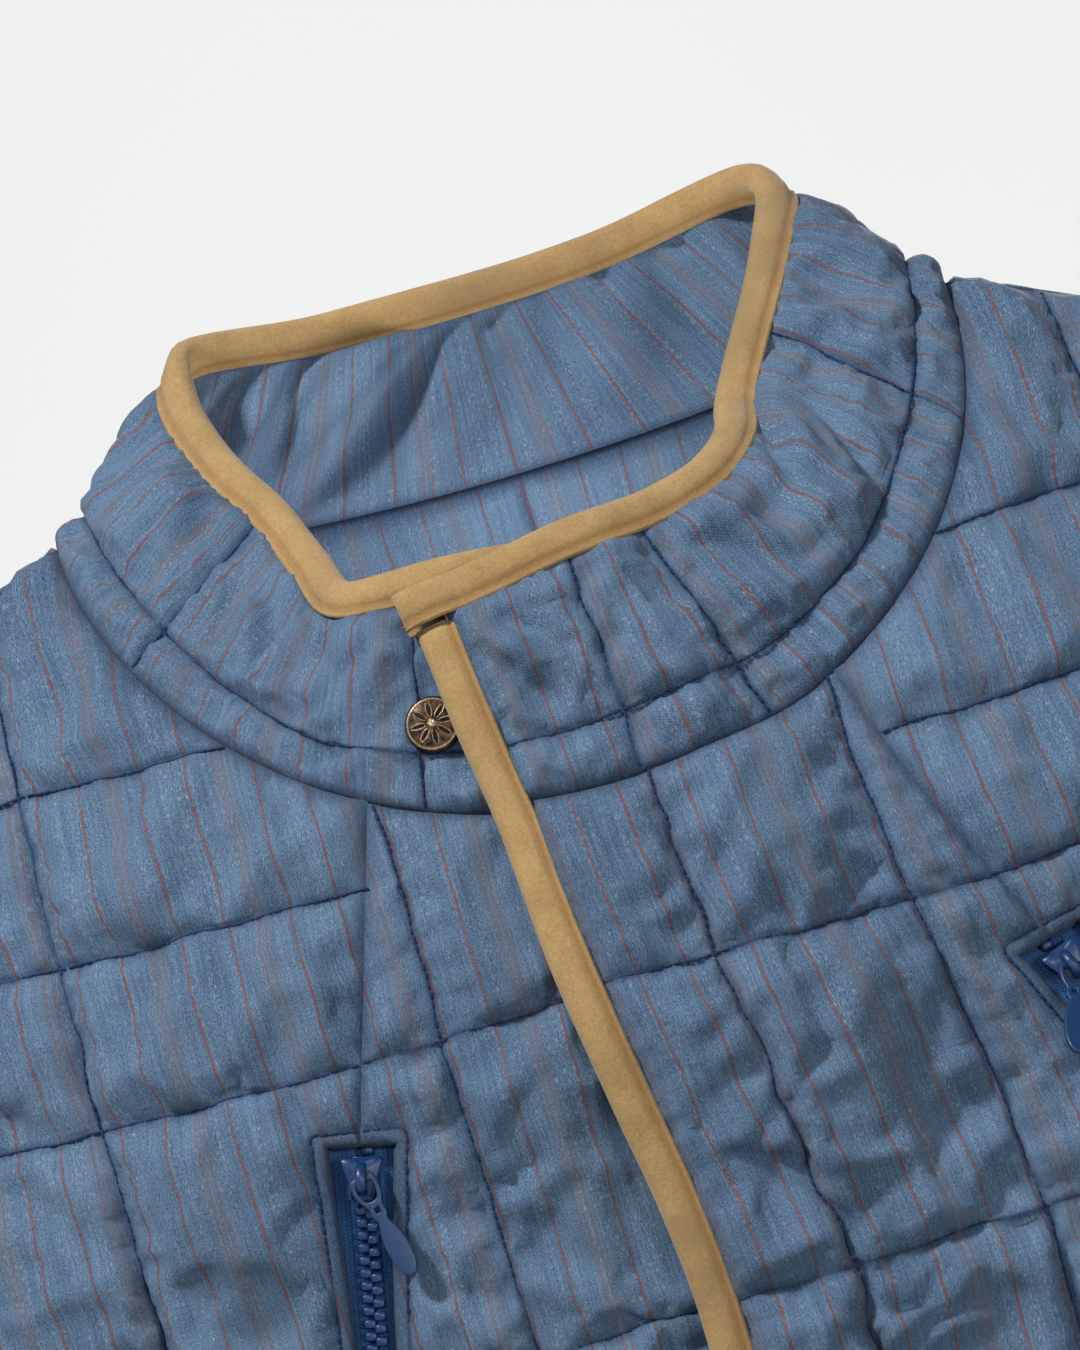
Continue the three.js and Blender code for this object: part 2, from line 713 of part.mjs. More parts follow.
// The padding is pressed flat where the button is sewn on: 0 there and 1 away from it.
function buttonRecess(along, v) {
  const away = Math.hypot((along - BUTTON.along) * perDegree, (v - BUTTON.v) * COLLAR.height);
  return smoothstep((away - BUTTON.radius * 0.9) / BUTTON.recess);
}

function collar() {
  const lines = collarLines;
  const first = underEnd + endInset;
  const last = overEnd - endInset;
  const columns = collarColumns();
  const levels = COLLAR_LEVELS;
  const outline = [
    [first, COLLAR.start],
    [last, COLLAR.start],
    [last, COLLAR_TOP],
    [first, COLLAR_TOP],
  ];
  return wallFromChart(outline, columns, levels, (along, v) => {
    const { point, normal } = collarAt(along, v);
    const distances = [
      nearest(along, lines) * perDegree,
      nearest(v, [COLLAR.line, COLLAR.start, COLLAR_TOP]) * COLLAR.height,
      Math.min(along - first, last - along) * perDegree,
    ];
    const height = quiltHeight(distances, COLLAR.puff * buttonRecess(along, v));
    return [
      point.clone().addScaledVector(normal, height),
      point.clone().addScaledVector(normal, -WALL_IN),
    ];
  });
}

// ---------------------------------------------------------------- bindings

const MIDWAY = -0.8; // from the collar's stitched surface to the middle of its cloth

// A folded binding: a bar that runs along an edge. Each stop gives the edge's point, the
// direction out of the cloth and the cloth's outward direction.
function bindingBar(stops, closed = false, clear = BINDING.clear) {
  const { half, width } = BINDING;
  const section = [
    [clear, -0.5 * half],
    [0.5 * width, -half],
    [width, -0.5 * half],
    [width, 0.5 * half],
    [0.5 * width, half],
    [clear, 0.5 * half],
  ];
  const ring = section.length;
  const positions = [];
  for (const { point, out, normal } of stops) {
    for (const [u, n] of section) {
      const p = point.clone().addScaledVector(out, u).addScaledVector(normal, n);
      positions.push(p.x, p.y, p.z);
    }
  }
  const index = [];
  const spans = closed ? stops.length : stops.length - 1;
  for (let i = 0; i < spans; i++) {
    const [low, high] = [i * ring, ((i + 1) % stops.length) * ring];
    for (let k = 0; k < ring; k++) {
      const next = (k + 1) % ring;
      index.push(low + k, high + k, low + next, low + next, high + k, high + next);
    }
  }
  if (!closed) {
    const end = (stops.length - 1) * ring;
    for (let k = 1; k + 1 < ring; k++) {
      index.push(0, k, k + 1, end, end + k + 1, end + k);
    }
  }
  const geometry = new THREE.BufferGeometry();
  geometry.setAttribute("position", new THREE.Float32BufferAttribute(positions, 3));
  geometry.setIndex(index);
  return facingOut(geometry);
}

// Stops of a binding along a body edge, given in the chart as points where the cloth ends.
function bodyStops(side, chart, towards, raised = false) {
  return chart.map(([a, z], i) => {
    const before = chart[Math.max(i - 1, 0)];
    const after = chart[Math.min(i + 1, chart.length - 1)];
    const at = ([p, q]) => {
      const up = raised ? lift(p) : 0;
      return bodyPoint(side, p, q).addScaledVector(bodyNormal(side, p, q), up);
    };
    const normal = bodyNormal(side, a, z);
    const along = at(after).sub(at(before)).normalize();
    const out = along.cross(normal).normalize();
    if (out.dot(towards(at([a, z]))) < 0) out.negate();
    return { point: at([a, z]).addScaledVector(normal, (STITCH_HEIGHT - WALL_IN) / 3), out, normal };
  });
}

function hemBinding() {
  const down = () => new THREE.Vector3(0, 0, -1);
  const meet = slantAt(BOTTOM);
  const level = (name, from, to) => {
    const spec = panels[name];
    const along = edgeOf(spec, [[from, BOTTOM], [to, BOTTOM]]).map(([a, z]) => [a * spec.hand, z]);
    return bodyStops(spec.side, along, down, spec.raised);
  };
  const side = SIDE - GAP / 2;
  const shifted = meet + drift(BOTTOM);
  return [
    ...level("left_front_inner", OVERLAP.edge + drift(BOTTOM) + 0.5, shifted).slice(0, -1),
    ...level("left_front_outer", shifted, side).slice(0, -1),
    ...level("back", side, -side),
    ...level("right_front_outer", side, meet).slice(1),
    ...level("right_front_inner", meet, -OVERLAP.under + 0.5).slice(1),
  ];
}

function armholeBinding(hand) {
  const towards = (p) => new THREE.Vector3(hand * 260, 0, -140).sub(p);
  const front = panels[hand > 0 ? "left_front_outer" : "right_front_outer"];
  const mirrored = (edge) => edge.map(([a, z]) => [a * hand, z]);
  return [
    ...bodyStops(-1, mirrored(edgeOf(front, armCut)), towards),
    ...bodyStops(1, mirrored(edgeOf(panels.back, backArmCut)), towards).slice(0, -1).reverse(),
  ];
}

function collarBinding() {
  return [underEnd, ...collarColumns(), overEnd].map((along) => {
    const { point, normal } = collarAt(along, COLLAR_TOP);
    const out = collarAt(along, COLLAR_TOP + 0.05).point.sub(point);
    const [before, after] = [-1, 1].map((step) => collarAt(along + step, COLLAR_TOP).point);
    const edge = after.sub(before).normalize();
    out.addScaledVector(edge, -out.dot(edge)).normalize();
    return { point: point.clone().addScaledVector(normal, MIDWAY), out, normal };
  });
}

// The binding down a front edge: on the collar first, then down the body to the hem's binding.
function frontBinding(over) {
  const end = over ? overEnd : underEnd;
  const inner = end - Math.sign(end) * endInset;
  const levels = [...COLLAR_LEVELS.slice(1), 0.05].sort((p, q) => q - p);
  levels[0] -= 0.01;
  const stops = levels.map((v) => {
    const { point, normal } = collarAt(inner, v);
    const out = collarAt(end, v).point.sub(point).normalize();
    return { point: point.clone().addScaledVector(normal, MIDWAY), out, normal };
  });
  const spec = panels[over ? "left_front_inner" : "right_front_inner"];
  const { hand } = spec;
  const chart = edgeOf(spec, spec.edge).map(([a, z]) => [hand * a, z]);
  chart[0][1] -= 4;
  chart[chart.length - 1][1] += 0.3;
  const towards = () => new THREE.Vector3(-hand, 0, 0);
  return [...stops, ...bodyStops(-1, chart, towards, over)];
}

// ---------------------------------------------------------------- pocket zips

// A place on the slanted seam: the surface point and the directions across, up and out.
function slantFrame(hand, z, sideways = 0) {
  const shift = (level) => (hand > 0 ? drift(level) : 0);
  const at = (level) => {
    const a = (slantAt(level) + shift(level) + sideways) * hand;
    return { point: bodyPoint(-1, a, level), normal: bodyNormal(-1, a, level) };
  };
  const { point, normal } = at(z);
  const up = at(z + 4).point.sub(at(z - 4).point).normalize();
  const across = new THREE.Vector3().crossVectors(up, normal).normalize();
  return { point, across, up: new THREE.Vector3().crossVectors(normal, across), normal };
}

const tapeTop = -WALL_IN - ZIP.under; // over the stitched surface
const TAPE = { half: 12, past: 5, sunk: 0.5 }; // half its width, how far it runs on, the chain's foot
const CHAIN_CLEAR = 2; // from the chain's ends to the opening's

// The tape lies under the lips of the opening; the closed chain of teeth stands on it.
function zipTape(hand) {
  const layers = [
    {
      half: TAPE.half,
      top: ZIP.top + TAPE.past,
      bottom: ZIP.bottom - TAPE.past,
      low: tapeTop - ZIP.tape,
      high: tapeTop,
    },
    {
      half: CHAIN.width / 2,
      top: ZIP.top - CHAIN_CLEAR,
      bottom: ZIP.bottom + CHAIN_CLEAR,
      low: tapeTop - TAPE.sunk,
      high: tapeTop + CHAIN.height,
    },
  ];
  return joined(
    layers.map(({ half, top, bottom, low, high }) => {
      const outline = [[-half, bottom], [half, bottom], [half, top], [-half, top]];
      const rows = quiltGrid([], bottom, top, 200, false, steps(bottom, top, 12));
      return wallFromChart(outline, [-half, 0, half], rows, (u, z) => {
        const { point, normal } = slantFrame(hand, z, u);
        return [high, low].map((n) => point.clone().addScaledVector(normal, n));
      });
    }),
  );
}

const SLIDER = { z: -154, length: 10, head: 8.6, tail: 6.8, height: 2.4, clear: 0.25 };
const LUG = { width: 1.6, length: 4.6, rise: 2.7, wall: 0.8, foot: 0.4, corner: 0.55 };
const CHEEK = { clear: 0.5, share: 0.8, down: 0.6 }; // the slider's sides, beside the chain
const PULL = { loop: 6.4, wire: 1, bar: 6.6, length: 25, neck: 3, width: 5.4, thick: 1.7 };
// How each tab hangs: turned from the seam, towards the centre, and tilted off the cloth.
const PULL_REST = { left: { yaw: 42, tilt: 36 }, right: { yaw: 27, tilt: 11 } };
const PULL_LIFT = 0.92; // the pull's pivot above the slider's top

const chainTop = tapeTop + CHAIN.height;
const sliderTop = chainTop + SLIDER.clear + SLIDER.height;

// Moves a piece drawn with x across, y up the seam and z outwards to its place on the seam.
function onSlant(geometry, hand, z, raise, turn = null) {
  const { point, across, up, normal } = slantFrame(hand, z);
  const basis = new THREE.Matrix4().makeBasis(across, up, normal);
  if (turn) basis.multiply(turn);
  basis.setPosition(point.addScaledVector(normal, raise));
  return geometry.applyMatrix4(basis);
}

// A closed outline from its right half, given in order; the left half mirrors it.
function mirroredOutline(right) {
  return [...right, ...right.map(([x, y]) => [-x, y]).reverse()];
}

function zipSlider(hand) {
  const { head, tail, length, height, clear } = SLIDER;
  const top = plate(
    mirroredOutline([[tail / 2, -length / 2], [head / 2, length / 6], [head / 4, length / 2]]),
    height,
  );
  top.translate(0, 0, height / 2);
  const cheek = (side) => {
    const inner = (side * (CHAIN.width + CHEEK.clear)) / 2;
    const outer = (side * tail) / 2;
    const box = new THREE.BoxGeometry(Math.abs(outer - inner), length * CHEEK.share, CHAIN.height);
    return box.translate((inner + outer) / 2, -CHEEK.down, CHEEK.down - CHAIN.height / 2);
  };
  const { width, rise, wall, foot, corner } = LUG;
  const half = LUG.length / 2;
  const arch = plate(
    mirroredOutline([
      [half - wall, rise - wall],
      [half - wall, -foot],
      [half, -foot],
      [half, rise - corner],
      [half - corner, rise],
    ]),
    width,
  );
  const [ahead, outwards, sideways] = [[0, 1, 0], [0, 0, 1], [1, 0, 0]].map((v) => new THREE.Vector3(...v));
  const stand = new THREE.Matrix4().makeBasis(ahead, outwards, sideways);
  arch.applyMatrix4(stand).translate(0, 0, height);
  return onSlant(joined([top, cheek(-1), cheek(1), arch]), hand, SLIDER.z, chainTop + clear);
}

// The pull tab: a loop through the slider's lug and a paddle, drawn from its pivot downwards.
function zipPull(hand) {
  const { loop, wire, bar, length, neck, width, thick } = PULL;
  const strip = (x, y, w, h, t = wire) => new THREE.BoxGeometry(w, h, t).translate(x, y, 0);
  const side = (bar - wire) / 2;
  const paddle = plate(
    mirroredOutline([
      [1, -length],
      [width / 2 - 1, -length + 0.6],
      [width / 2, -length + 2.6],
      [width / 2, -loop - 3],
      [bar / 2, -loop + 0.3],
      [neck / 2, -loop + 0.6],
    ]),
    thick,
  );
  const pull = joined([
    strip(0, 0, bar, wire),
    strip(-side, -loop / 2, wire, loop),
    strip(side, -loop / 2, wire, loop),
    paddle,
  ]);
  const rest = hand > 0 ? PULL_REST.left : PULL_REST.right;
  const turn = new THREE.Matrix4().makeRotationZ(radians(rest.yaw) * hand * -1);
  turn.multiply(new THREE.Matrix4().makeRotationX(radians(rest.tilt) * -1));
  return onSlant(pull, hand, SLIDER.z, sliderTop + PULL_LIFT, turn);
}

// ---------------------------------------------------------------- button

function button() {
  const { radius, rise } = BUTTON;
  const profile = [
    [0, 0],
    [0.9, 0],
    [1, 0.6],
    [1, 1.1],
    [0.93, 1.6],
    [0.84, 1.75],
    [0.72, 2.3],
    [0.45, rise - 0.25],
    [0, rise],
  ];
  const turned = new THREE.LatheGeometry(profile.map(([r, h]) => new THREE.Vector2(r * radius, h)), 28);
  turned.rotateX(Math.PI / 2);
  const { point, normal } = collarAt(BUTTON.along, BUTTON.v);
  const place = new THREE.Matrix4().lookAt(normal, new THREE.Vector3(), new THREE.Vector3(0, 0, 1));
  place.setPosition(point.addScaledVector(normal, STITCH_HEIGHT + BUTTON.clear));
  return geometryOf(solidOf(turned.applyMatrix4(place)));
}

// ---------------------------------------------------------------- the vest

const colours = {
  cloth: { color: 0x5f7894, roughness: 0.92, metalness: 0 },
  binding: { color: 0xc9a368, roughness: 0.95, metalness: 0 },
  tape: { color: 0x14315a, roughness: 0.8, metalness: 0 },
  plastic: { color: 0x1c3f74, roughness: 0.35, metalness: 0 },
  bronze: { color: 0x3a332c, roughness: 0.4, metalness: 1 },
};
const finish = Object.fromEntries(
  Object.entries(colours).map(([name, look]) => [name, new THREE.MeshStandardMaterial(look)]),
);

const vest = new THREE.Group();
function add(name, geometry, material) {
  const mesh = new THREE.Mesh(geometry, finish[material]);
  mesh.name = name;
  vest.add(mesh);
}

for (const [name, spec] of Object.entries(panels)) add(name, bodyPanel(spec), "cloth");
add("collar", collar(), "cloth");
add("collar_binding", bindingBar(collarBinding(), false, BINDING.clearOfCollar), "binding");
add("left_front_binding", bindingBar(frontBinding(true)), "binding");
add("right_front_binding", bindingBar(frontBinding(false)), "binding");
add("hem_binding", bindingBar(hemBinding()), "binding");
for (const [name, hand] of [["left", 1], ["right", -1]]) {
  add(`${name}_armhole_binding`, bindingBar(armholeBinding(hand), true), "binding");
  add(`${name}_zip`, zipTape(hand), "tape");
  add(`${name}_zip_slider`, zipSlider(hand), "plastic");
  add(`${name}_zip_pull`, zipPull(hand), "plastic");
}
add("button", button(), "bronze");

export default vest;
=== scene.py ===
"""A padded, quilted vest with a stand collar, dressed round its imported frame.

Lengths are metres. +Z is up, the wearer faces -Y and +X is the wearer's left. The origin lies
midway between the side neck points. Every cloth panel has a flat chart, `a` round the body from
the centre line and `z` up; it is cut out there, quilted, and draped on the general figure.
"""

from __future__ import annotations

import logging
import math
from dataclasses import dataclass, field
from enum import Enum
from typing import Callable, Iterable, Sequence

import bmesh
import bpy
import numpy as np
from mathutils import Matrix, Vector
from mathutils.geometry import delaunay_2d_cdt
from mathutils.kdtree import KDTree


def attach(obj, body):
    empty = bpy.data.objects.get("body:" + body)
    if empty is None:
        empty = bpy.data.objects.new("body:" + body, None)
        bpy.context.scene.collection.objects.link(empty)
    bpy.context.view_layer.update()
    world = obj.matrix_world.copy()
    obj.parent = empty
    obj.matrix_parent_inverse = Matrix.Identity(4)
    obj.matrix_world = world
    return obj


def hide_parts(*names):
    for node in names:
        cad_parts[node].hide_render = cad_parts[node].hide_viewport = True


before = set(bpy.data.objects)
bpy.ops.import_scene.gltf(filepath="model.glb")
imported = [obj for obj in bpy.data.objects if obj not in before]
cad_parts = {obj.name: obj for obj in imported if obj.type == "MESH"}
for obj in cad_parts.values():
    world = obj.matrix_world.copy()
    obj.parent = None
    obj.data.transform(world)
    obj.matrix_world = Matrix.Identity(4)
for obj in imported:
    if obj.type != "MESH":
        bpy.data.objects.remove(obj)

log = logging.getLogger("vest")
Array = np.ndarray
MM = 0.001


class Side(Enum):
    """Front or back of the figure; the value is the sign of its depth."""

    FRONT = -1
    BACK = 1


class Hand(Enum):
    """The wearer's left or right; the value is the sign of X."""

    LEFT = 1
    RIGHT = -1


# ------------------------------------------------------------------ the cut


@dataclass(frozen=True)
class BodyRow:
    """Half width, and depth to the front and back, at one height of the figure."""

    z: float
    width: float
    front: float
    back: float


@dataclass(frozen=True)
class Fall:
    """How chest or back falls away from the shoulder seam."""

    height: float
    curve: float
    crown: float


@dataclass(frozen=True)
class Station:
    """A place on the collar's upper edge, at one turn of the neck seam in degrees."""

    turn: float
    x: float
    y: float
    z: float


@dataclass(frozen=True)
class Cut:
    """The driving sizes of the vest."""

    hem: float = -0.640
    gap: float = 0.0003
    wall_in: float = 0.0025
    stitch_height: float = 0.0006
    puff: float = 0.0056
    pitch: float = 0.083
    row_pitch: float = 0.075
    chest_row: float = -0.129
    yoke_rows: tuple[float, ...] = (-0.053, -0.092)
    neck_half: float = 0.115
    front_drop: float = 0.088
    back_drop: float = 0.017
    neck_left: float = 1.04
    neck_right: float = 1.25
    neck_clear: float = 0.0003
    shoulder_y: float = 0.012
    shoulder_slope: float = 0.47
    shoulder_start: float = 0.100
    shoulder_round: float = 0.014
    shoulder_tip: float = 0.221
    side_y: float = 0.005
    overlap_edge: float = -0.029
    overlap_stitch: float = 0.008
    overlap_under: float = 0.025
    overlap_lift: float = 0.0075
    overlap_flat: float = 0.020
    overlap_fade: float = 0.030
    drift_top: float = -0.085
    drift_height: float = 0.125
    drift_width: float = 0.012
    binding: float = 0.009
    armhole_bottom: float = -0.258
    slant_turn: float = 30.5
    zip_top: float = -0.146
    zip_bottom: float = -0.300
    zip_wide: float = 0.0082
    zip_narrow: float = 0.0056
    zip_narrowing: float = 0.045
    zip_cant: float = 0.0019
    welt: float = 0.0027
    collar_height: float = 0.062
    collar_above: float = 0.0035
    collar_bulge: float = 0.001
    collar_line: float = 0.24
    collar_start: float = 0.017
    collar_puff: float = 0.0056
    collar_end_inset: float = 4.6

    @property
    def bottom(self) -> float:
        """Height where the cloth ends and the hem's binding begins."""
        return self.hem + self.binding

    @property
    def collar_top(self) -> float:
        """Share of the collar's height where its binding begins."""
        return 1 - self.binding / self.collar_height

    @property
    def rows(self) -> list[float]:
        """Heights of the level stitch lines below the neck."""
        count = int((self.chest_row - self.hem - self.row_pitch / 2) / self.row_pitch) + 1
        return [self.chest_row - self.row_pitch * i for i in range(count)]


CUT = Cut()
BODY_ROWS = (
    BodyRow(0.020, 0.243, 0.104, 0.112),
    BodyRow(-0.150, 0.243, 0.104, 0.113),
    BodyRow(-0.200, 0.242, 0.110, 0.119),
    BodyRow(-0.260, 0.240, 0.117, 0.121),
    BodyRow(-0.340, 0.242, 0.120, 0.116),
    BodyRow(-0.450, 0.246, 0.120, 0.111),
    BodyRow(-0.560, 0.252, 0.123, 0.114),
    BodyRow(-0.650, 0.258, 0.127, 0.119),
)
FALLS = {Side.FRONT: Fall(0.165, 1.7, 0.85), Side.BACK: Fall(0.130, 1.8, 0.75)}
ARMHOLES = {
    Side.FRONT: ((0.208, -0.080), (0.199, -0.120), (0.200, -0.160), (0.212, -0.197),
                 (0.238, -0.228), (0.270, -0.248)),
    Side.BACK: ((0.213, -0.080), (0.209, -0.122), (0.213, -0.165), (0.230, -0.205),
                (0.252, -0.232), (0.278, -0.251)),
}
SLANT = ((-0.640, 0.196), (-0.190, 0.090), (-0.146, 0.080), (-0.060, 0.052))
COLLAR_OVER = (
    Station(-15, -0.038, -0.066, -0.034),
    Station(-6, -0.016, -0.065, -0.030),
    Station(4, 0.005, -0.062, -0.0265),
    Station(25, 0.025, -0.054, -0.026),
    Station(37, 0.041, -0.044, -0.023),
    Station(47, 0.050, -0.030, -0.0165),
    Station(57, 0.052, -0.015, -0.0095),
    Station(68, 0.061, 0.000, 0.0045),
    Station(82, 0.072, 0.015, 0.019),
    Station(97, 0.080, 0.031, 0.032),
    Station(109, 0.075, 0.042, 0.037),
    Station(120, 0.064, 0.048, 0.0365),
    Station(150, 0.030, 0.050, 0.032),
    Station(180, 0.000, 0.050, 0.0315),
)
COLLAR_UNDER = (
    Station(-12, 0.020, -0.044, -0.0305),
    Station(2, -0.003, -0.049, -0.029),
    Station(16, -0.023, -0.055, -0.027),
    Station(28, -0.037, -0.053, -0.028),
    Station(38, -0.049, -0.044, -0.028),
    Station(50, -0.052, -0.027, -0.019),
    Station(65, -0.057, -0.010, -0.0055),
    Station(80, -0.0655, 0.005, 0.0055),
    Station(93, -0.072, 0.021, 0.020),
    Station(104, -0.073, 0.034, 0.031),
    Station(114, -0.069, 0.043, 0.035),
    Station(124, -0.059, 0.047, 0.035),
    Station(150, -0.034, 0.050, 0.032),
    Station(180, 0.000, 0.050, 0.0315),
)
COLLAR_LINES_OVER = (3.6, 20.0, 68.0, 125.0)
COLLAR_LINES_UNDER = (22.5, 64.0, 125.0)


# ------------------------------------------------------------------ small tools


def smoothstep(t: Array | float) -> Array:
    """An even rise from 0 to 1 as t goes from 0 to 1."""
    t = np.clip(t, 0, 1)
    return t * t * (3 - 2 * t)


def unit(vectors: Array) -> Array:
    """The vectors at length one."""
    return vectors / np.maximum(np.linalg.norm(vectors, axis=-1, keepdims=True), 1e-12)


class Curve:
    """A smooth curve through a short table's rows."""

    def __init__(self, at: Sequence[float], values: Sequence[float]) -> None:
        """Sorts the rows and works out a slope for each.

        Args:
            at: where each row is.
            values: the curve's value there.
        """
        order = np.argsort(at)
        self.x = np.asarray(at, float)[order]
        self.y = np.asarray(values, float)[order]
        self.slopes = np.gradient(self.y, self.x)
        inner = (self.y[2:] - self.y[:-2]) / (self.x[2:] - self.x[:-2])
        self.slopes[1:-1] = inner

    def __call__(self, where: Array | float) -> Array:
        """The curve's value, straight on past its two ends."""
        where = np.asarray(where, float)
        i = np.clip(np.searchsorted(self.x, where, side="right") - 1, 0, len(self.x) - 2)
        span = self.x[i + 1] - self.x[i]
        t = np.clip((where - self.x[i]) / span, 0, 1)
        t2, t3 = t * t, t * t * t
        value = (2 * t3 - 3 * t2 + 1) * self.y[i] + (t3 - 2 * t2 + t) * span * self.slopes[i]
        value += (3 * t2 - 2 * t3) * self.y[i + 1] + (t3 - t2) * span * self.slopes[i + 1]
        before = np.minimum(where - self.x[0], 0) * self.slopes[0]
        after = np.maximum(where - self.x[-1], 0) * self.slopes[-1]
        return value + before + after


class Ripple:
    """Smooth, uneven waves from a seeded table, the same on each run."""

    SIZE = 256

    def __init__(self, seed: int) -> None:
        """Draws the table."""
        self.table = np.random.default_rng(seed).uniform(-1, 1, (self.SIZE, self.SIZE))

    def __call__(self, x: Array, y: Array | float = 0.0) -> Array:
        """Waves of about two units' length, from -1 to 1."""
        x, y = np.broadcast_arrays(np.asarray(x, float), np.asarray(y, float))
        i, j = np.floor(x).astype(int), np.floor(y).astype(int)
        s, t = smoothstep(x - i), smoothstep(y - j)
        read = lambda p, q: self.table[p % self.SIZE, q % self.SIZE]
        low = read(i, j) * (1 - s) + read(i + 1, j) * s
        high = read(i, j + 1) * (1 - s) + read(i + 1, j + 1) * s
        return low * (1 - t) + high * t


def resampled(points: Array, spacing: float, closed: bool = False) -> Array:
    """A line's points with more between them, every corner kept.

    Args:
        points: the line's points, one a row.
        spacing: the longest step between two points.
        closed: whether the last point joins the first.

    Returns:
        The points, one a row.
    """
    points = np.asarray(points, float)
    ends = np.roll(points, -1, axis=0) if closed else points[1:]
    out = []
    for p, q in zip(points, ends):
        count = max(int(math.ceil(np.linalg.norm(q - p) / spacing)), 1)
        out.extend(p + (q - p) * k / count for k in range(count))
    if not closed:
        out.append(points[-1])
    return np.array(out)


def evenly(points: Array, spacing: float) -> Array:
    """A line's points moved to equal steps along it, its two ends kept."""
    points = np.asarray(points, float)
    length = np.concatenate([[0], np.cumsum(np.linalg.norm(np.diff(points, axis=0), axis=1))])
    count = max(int(round(length[-1] / spacing)), 1)
    at = np.linspace(0, length[-1], count + 1)
    return np.stack([np.interp(at, length, points[:, k]) for k in range(points.shape[1])], axis=1)


def tree_of(points: Array) -> KDTree:
    """A search tree of points in the plane or in space."""
    tree = KDTree(len(points))
    for i, p in enumerate(points):
        tree.insert((p[0], p[1], p[2] if len(p) > 2 else 0.0), i)
    tree.balance()
    return tree


def distance_to(points: Array, others: Array) -> Array:
    """The distance from each point to the nearest of some others in the plane."""
    if len(others) == 0:
        return np.full(len(points), 1.0)
    tree = tree_of(others)
    return np.array([tree.find((p[0], p[1], 0.0))[2] for p in points])


def inside(points: Array, outline: Array) -> Array:
    """Whether each point of the plane lies inside a closed outline."""
    x, y = points[:, 0], points[:, 1]
    hit = np.zeros(len(points), bool)
    for (x0, y0), (x1, y1) in zip(outline, np.roll(outline, -1, axis=0)):
        if y0 == y1:
            continue
        crosses = (y0 > y) != (y1 > y)
        hit ^= crosses & (x < (x1 - x0) * (y - y0) / (y1 - y0) + x0)
    return hit


def linked(name: str, data: bpy.types.ID) -> bpy.types.Object:
    """A new object that shows some data, in the scene."""
    obj = bpy.data.objects.new(name, data)
    bpy.context.scene.collection.objects.link(obj)
    return obj


def applied(obj: bpy.types.Object) -> bpy.types.Mesh:
    """A plain mesh of an object as it is with its modifiers."""
    return bpy.data.meshes.new_from_object(obj.evaluated_get(bpy.context.evaluated_depsgraph_get()))


def mesh_object(name: str, points: Array, faces: Iterable[Sequence[int]]) -> bpy.types.Object:
    """A new smooth mesh object at the origin, in the scene.

    Args:
        name: the object's name.
        points: its points in metres.
        faces: its faces as rows of point numbers.

    Returns:
        The object.
    """
    mesh = bpy.data.meshes.new(name)
    mesh.from_pydata(np.asarray(points, float).tolist(), [], [list(map(int, f)) for f in faces])
    mesh.update()
    mesh.shade_smooth()
    return linked(name, mesh)


def between_rings(rings: int, around: int) -> list[list[int]]:
    """The faces between rings of points numbered from 1, each ring after the one before."""
    faces = []
    for low in range(1, 1 + (rings - 1) * around, around):
        for i in range(around):
            step = (i + 1) % around
            faces.append([low + i, low + around + i, low + around + step, low + step])
    return faces


def close_tube(bm: bmesh.types.BMesh, rings: list[list[bmesh.types.BMVert]]) -> None:
    """Joins rings of points into a tube, with a face over each end."""
    count = len(rings[0])
    for low, high in zip(rings, rings[1:]):
        for i in range(count):
            bm.faces.new((low[i], low[(i + 1) % count], high[(i + 1) % count], high[i]))
    bm.faces.new(rings[0][::-1])
    bm.faces.new(rings[-1])


def mend(mesh: bpy.types.Mesh, merge: float = 0.0) -> None:
    """Turns a mesh's faces the same way round, and first merges points closer than a distance."""
    bm = bmesh.new()
    bm.from_mesh(mesh)
    if merge:
        bmesh.ops.remove_doubles(bm, verts=bm.verts, dist=merge)
    bmesh.ops.recalc_face_normals(bm, faces=bm.faces)
    bm.to_mesh(mesh)
    bm.free()


def face_out(obj: bpy.types.Object) -> None:
    """Turns a closed mesh's faces outwards."""
    bm = bmesh.new()
    bm.from_mesh(obj.data)
    if bm.calc_volume(signed=True) < 0:
        bmesh.ops.reverse_faces(bm, faces=bm.faces)
    bm.to_mesh(obj.data)
    bm.free()


def give_chart(obj: bpy.types.Object, uv: Array) -> None:
    """Stores a flat place for each point in the piece's UV map, named chart."""
    layer = obj.data.uv_layers.new(name="chart")
    corners = np.empty(len(obj.data.loops), int)
    obj.data.loops.foreach_get("vertex_index", corners)
    layer.data.foreach_set("uv", uv[corners].astype(np.float32).ravel())


def give_value(obj: bpy.types.Object, name: str, values: Array) -> None:
    """Stores one number for each point in an attribute."""
    attribute = obj.data.attributes.new(name, "FLOAT", "POINT")
    attribute.data.foreach_set("value", np.asarray(values, np.float32))


# ------------------------------------------------------------------ the figure


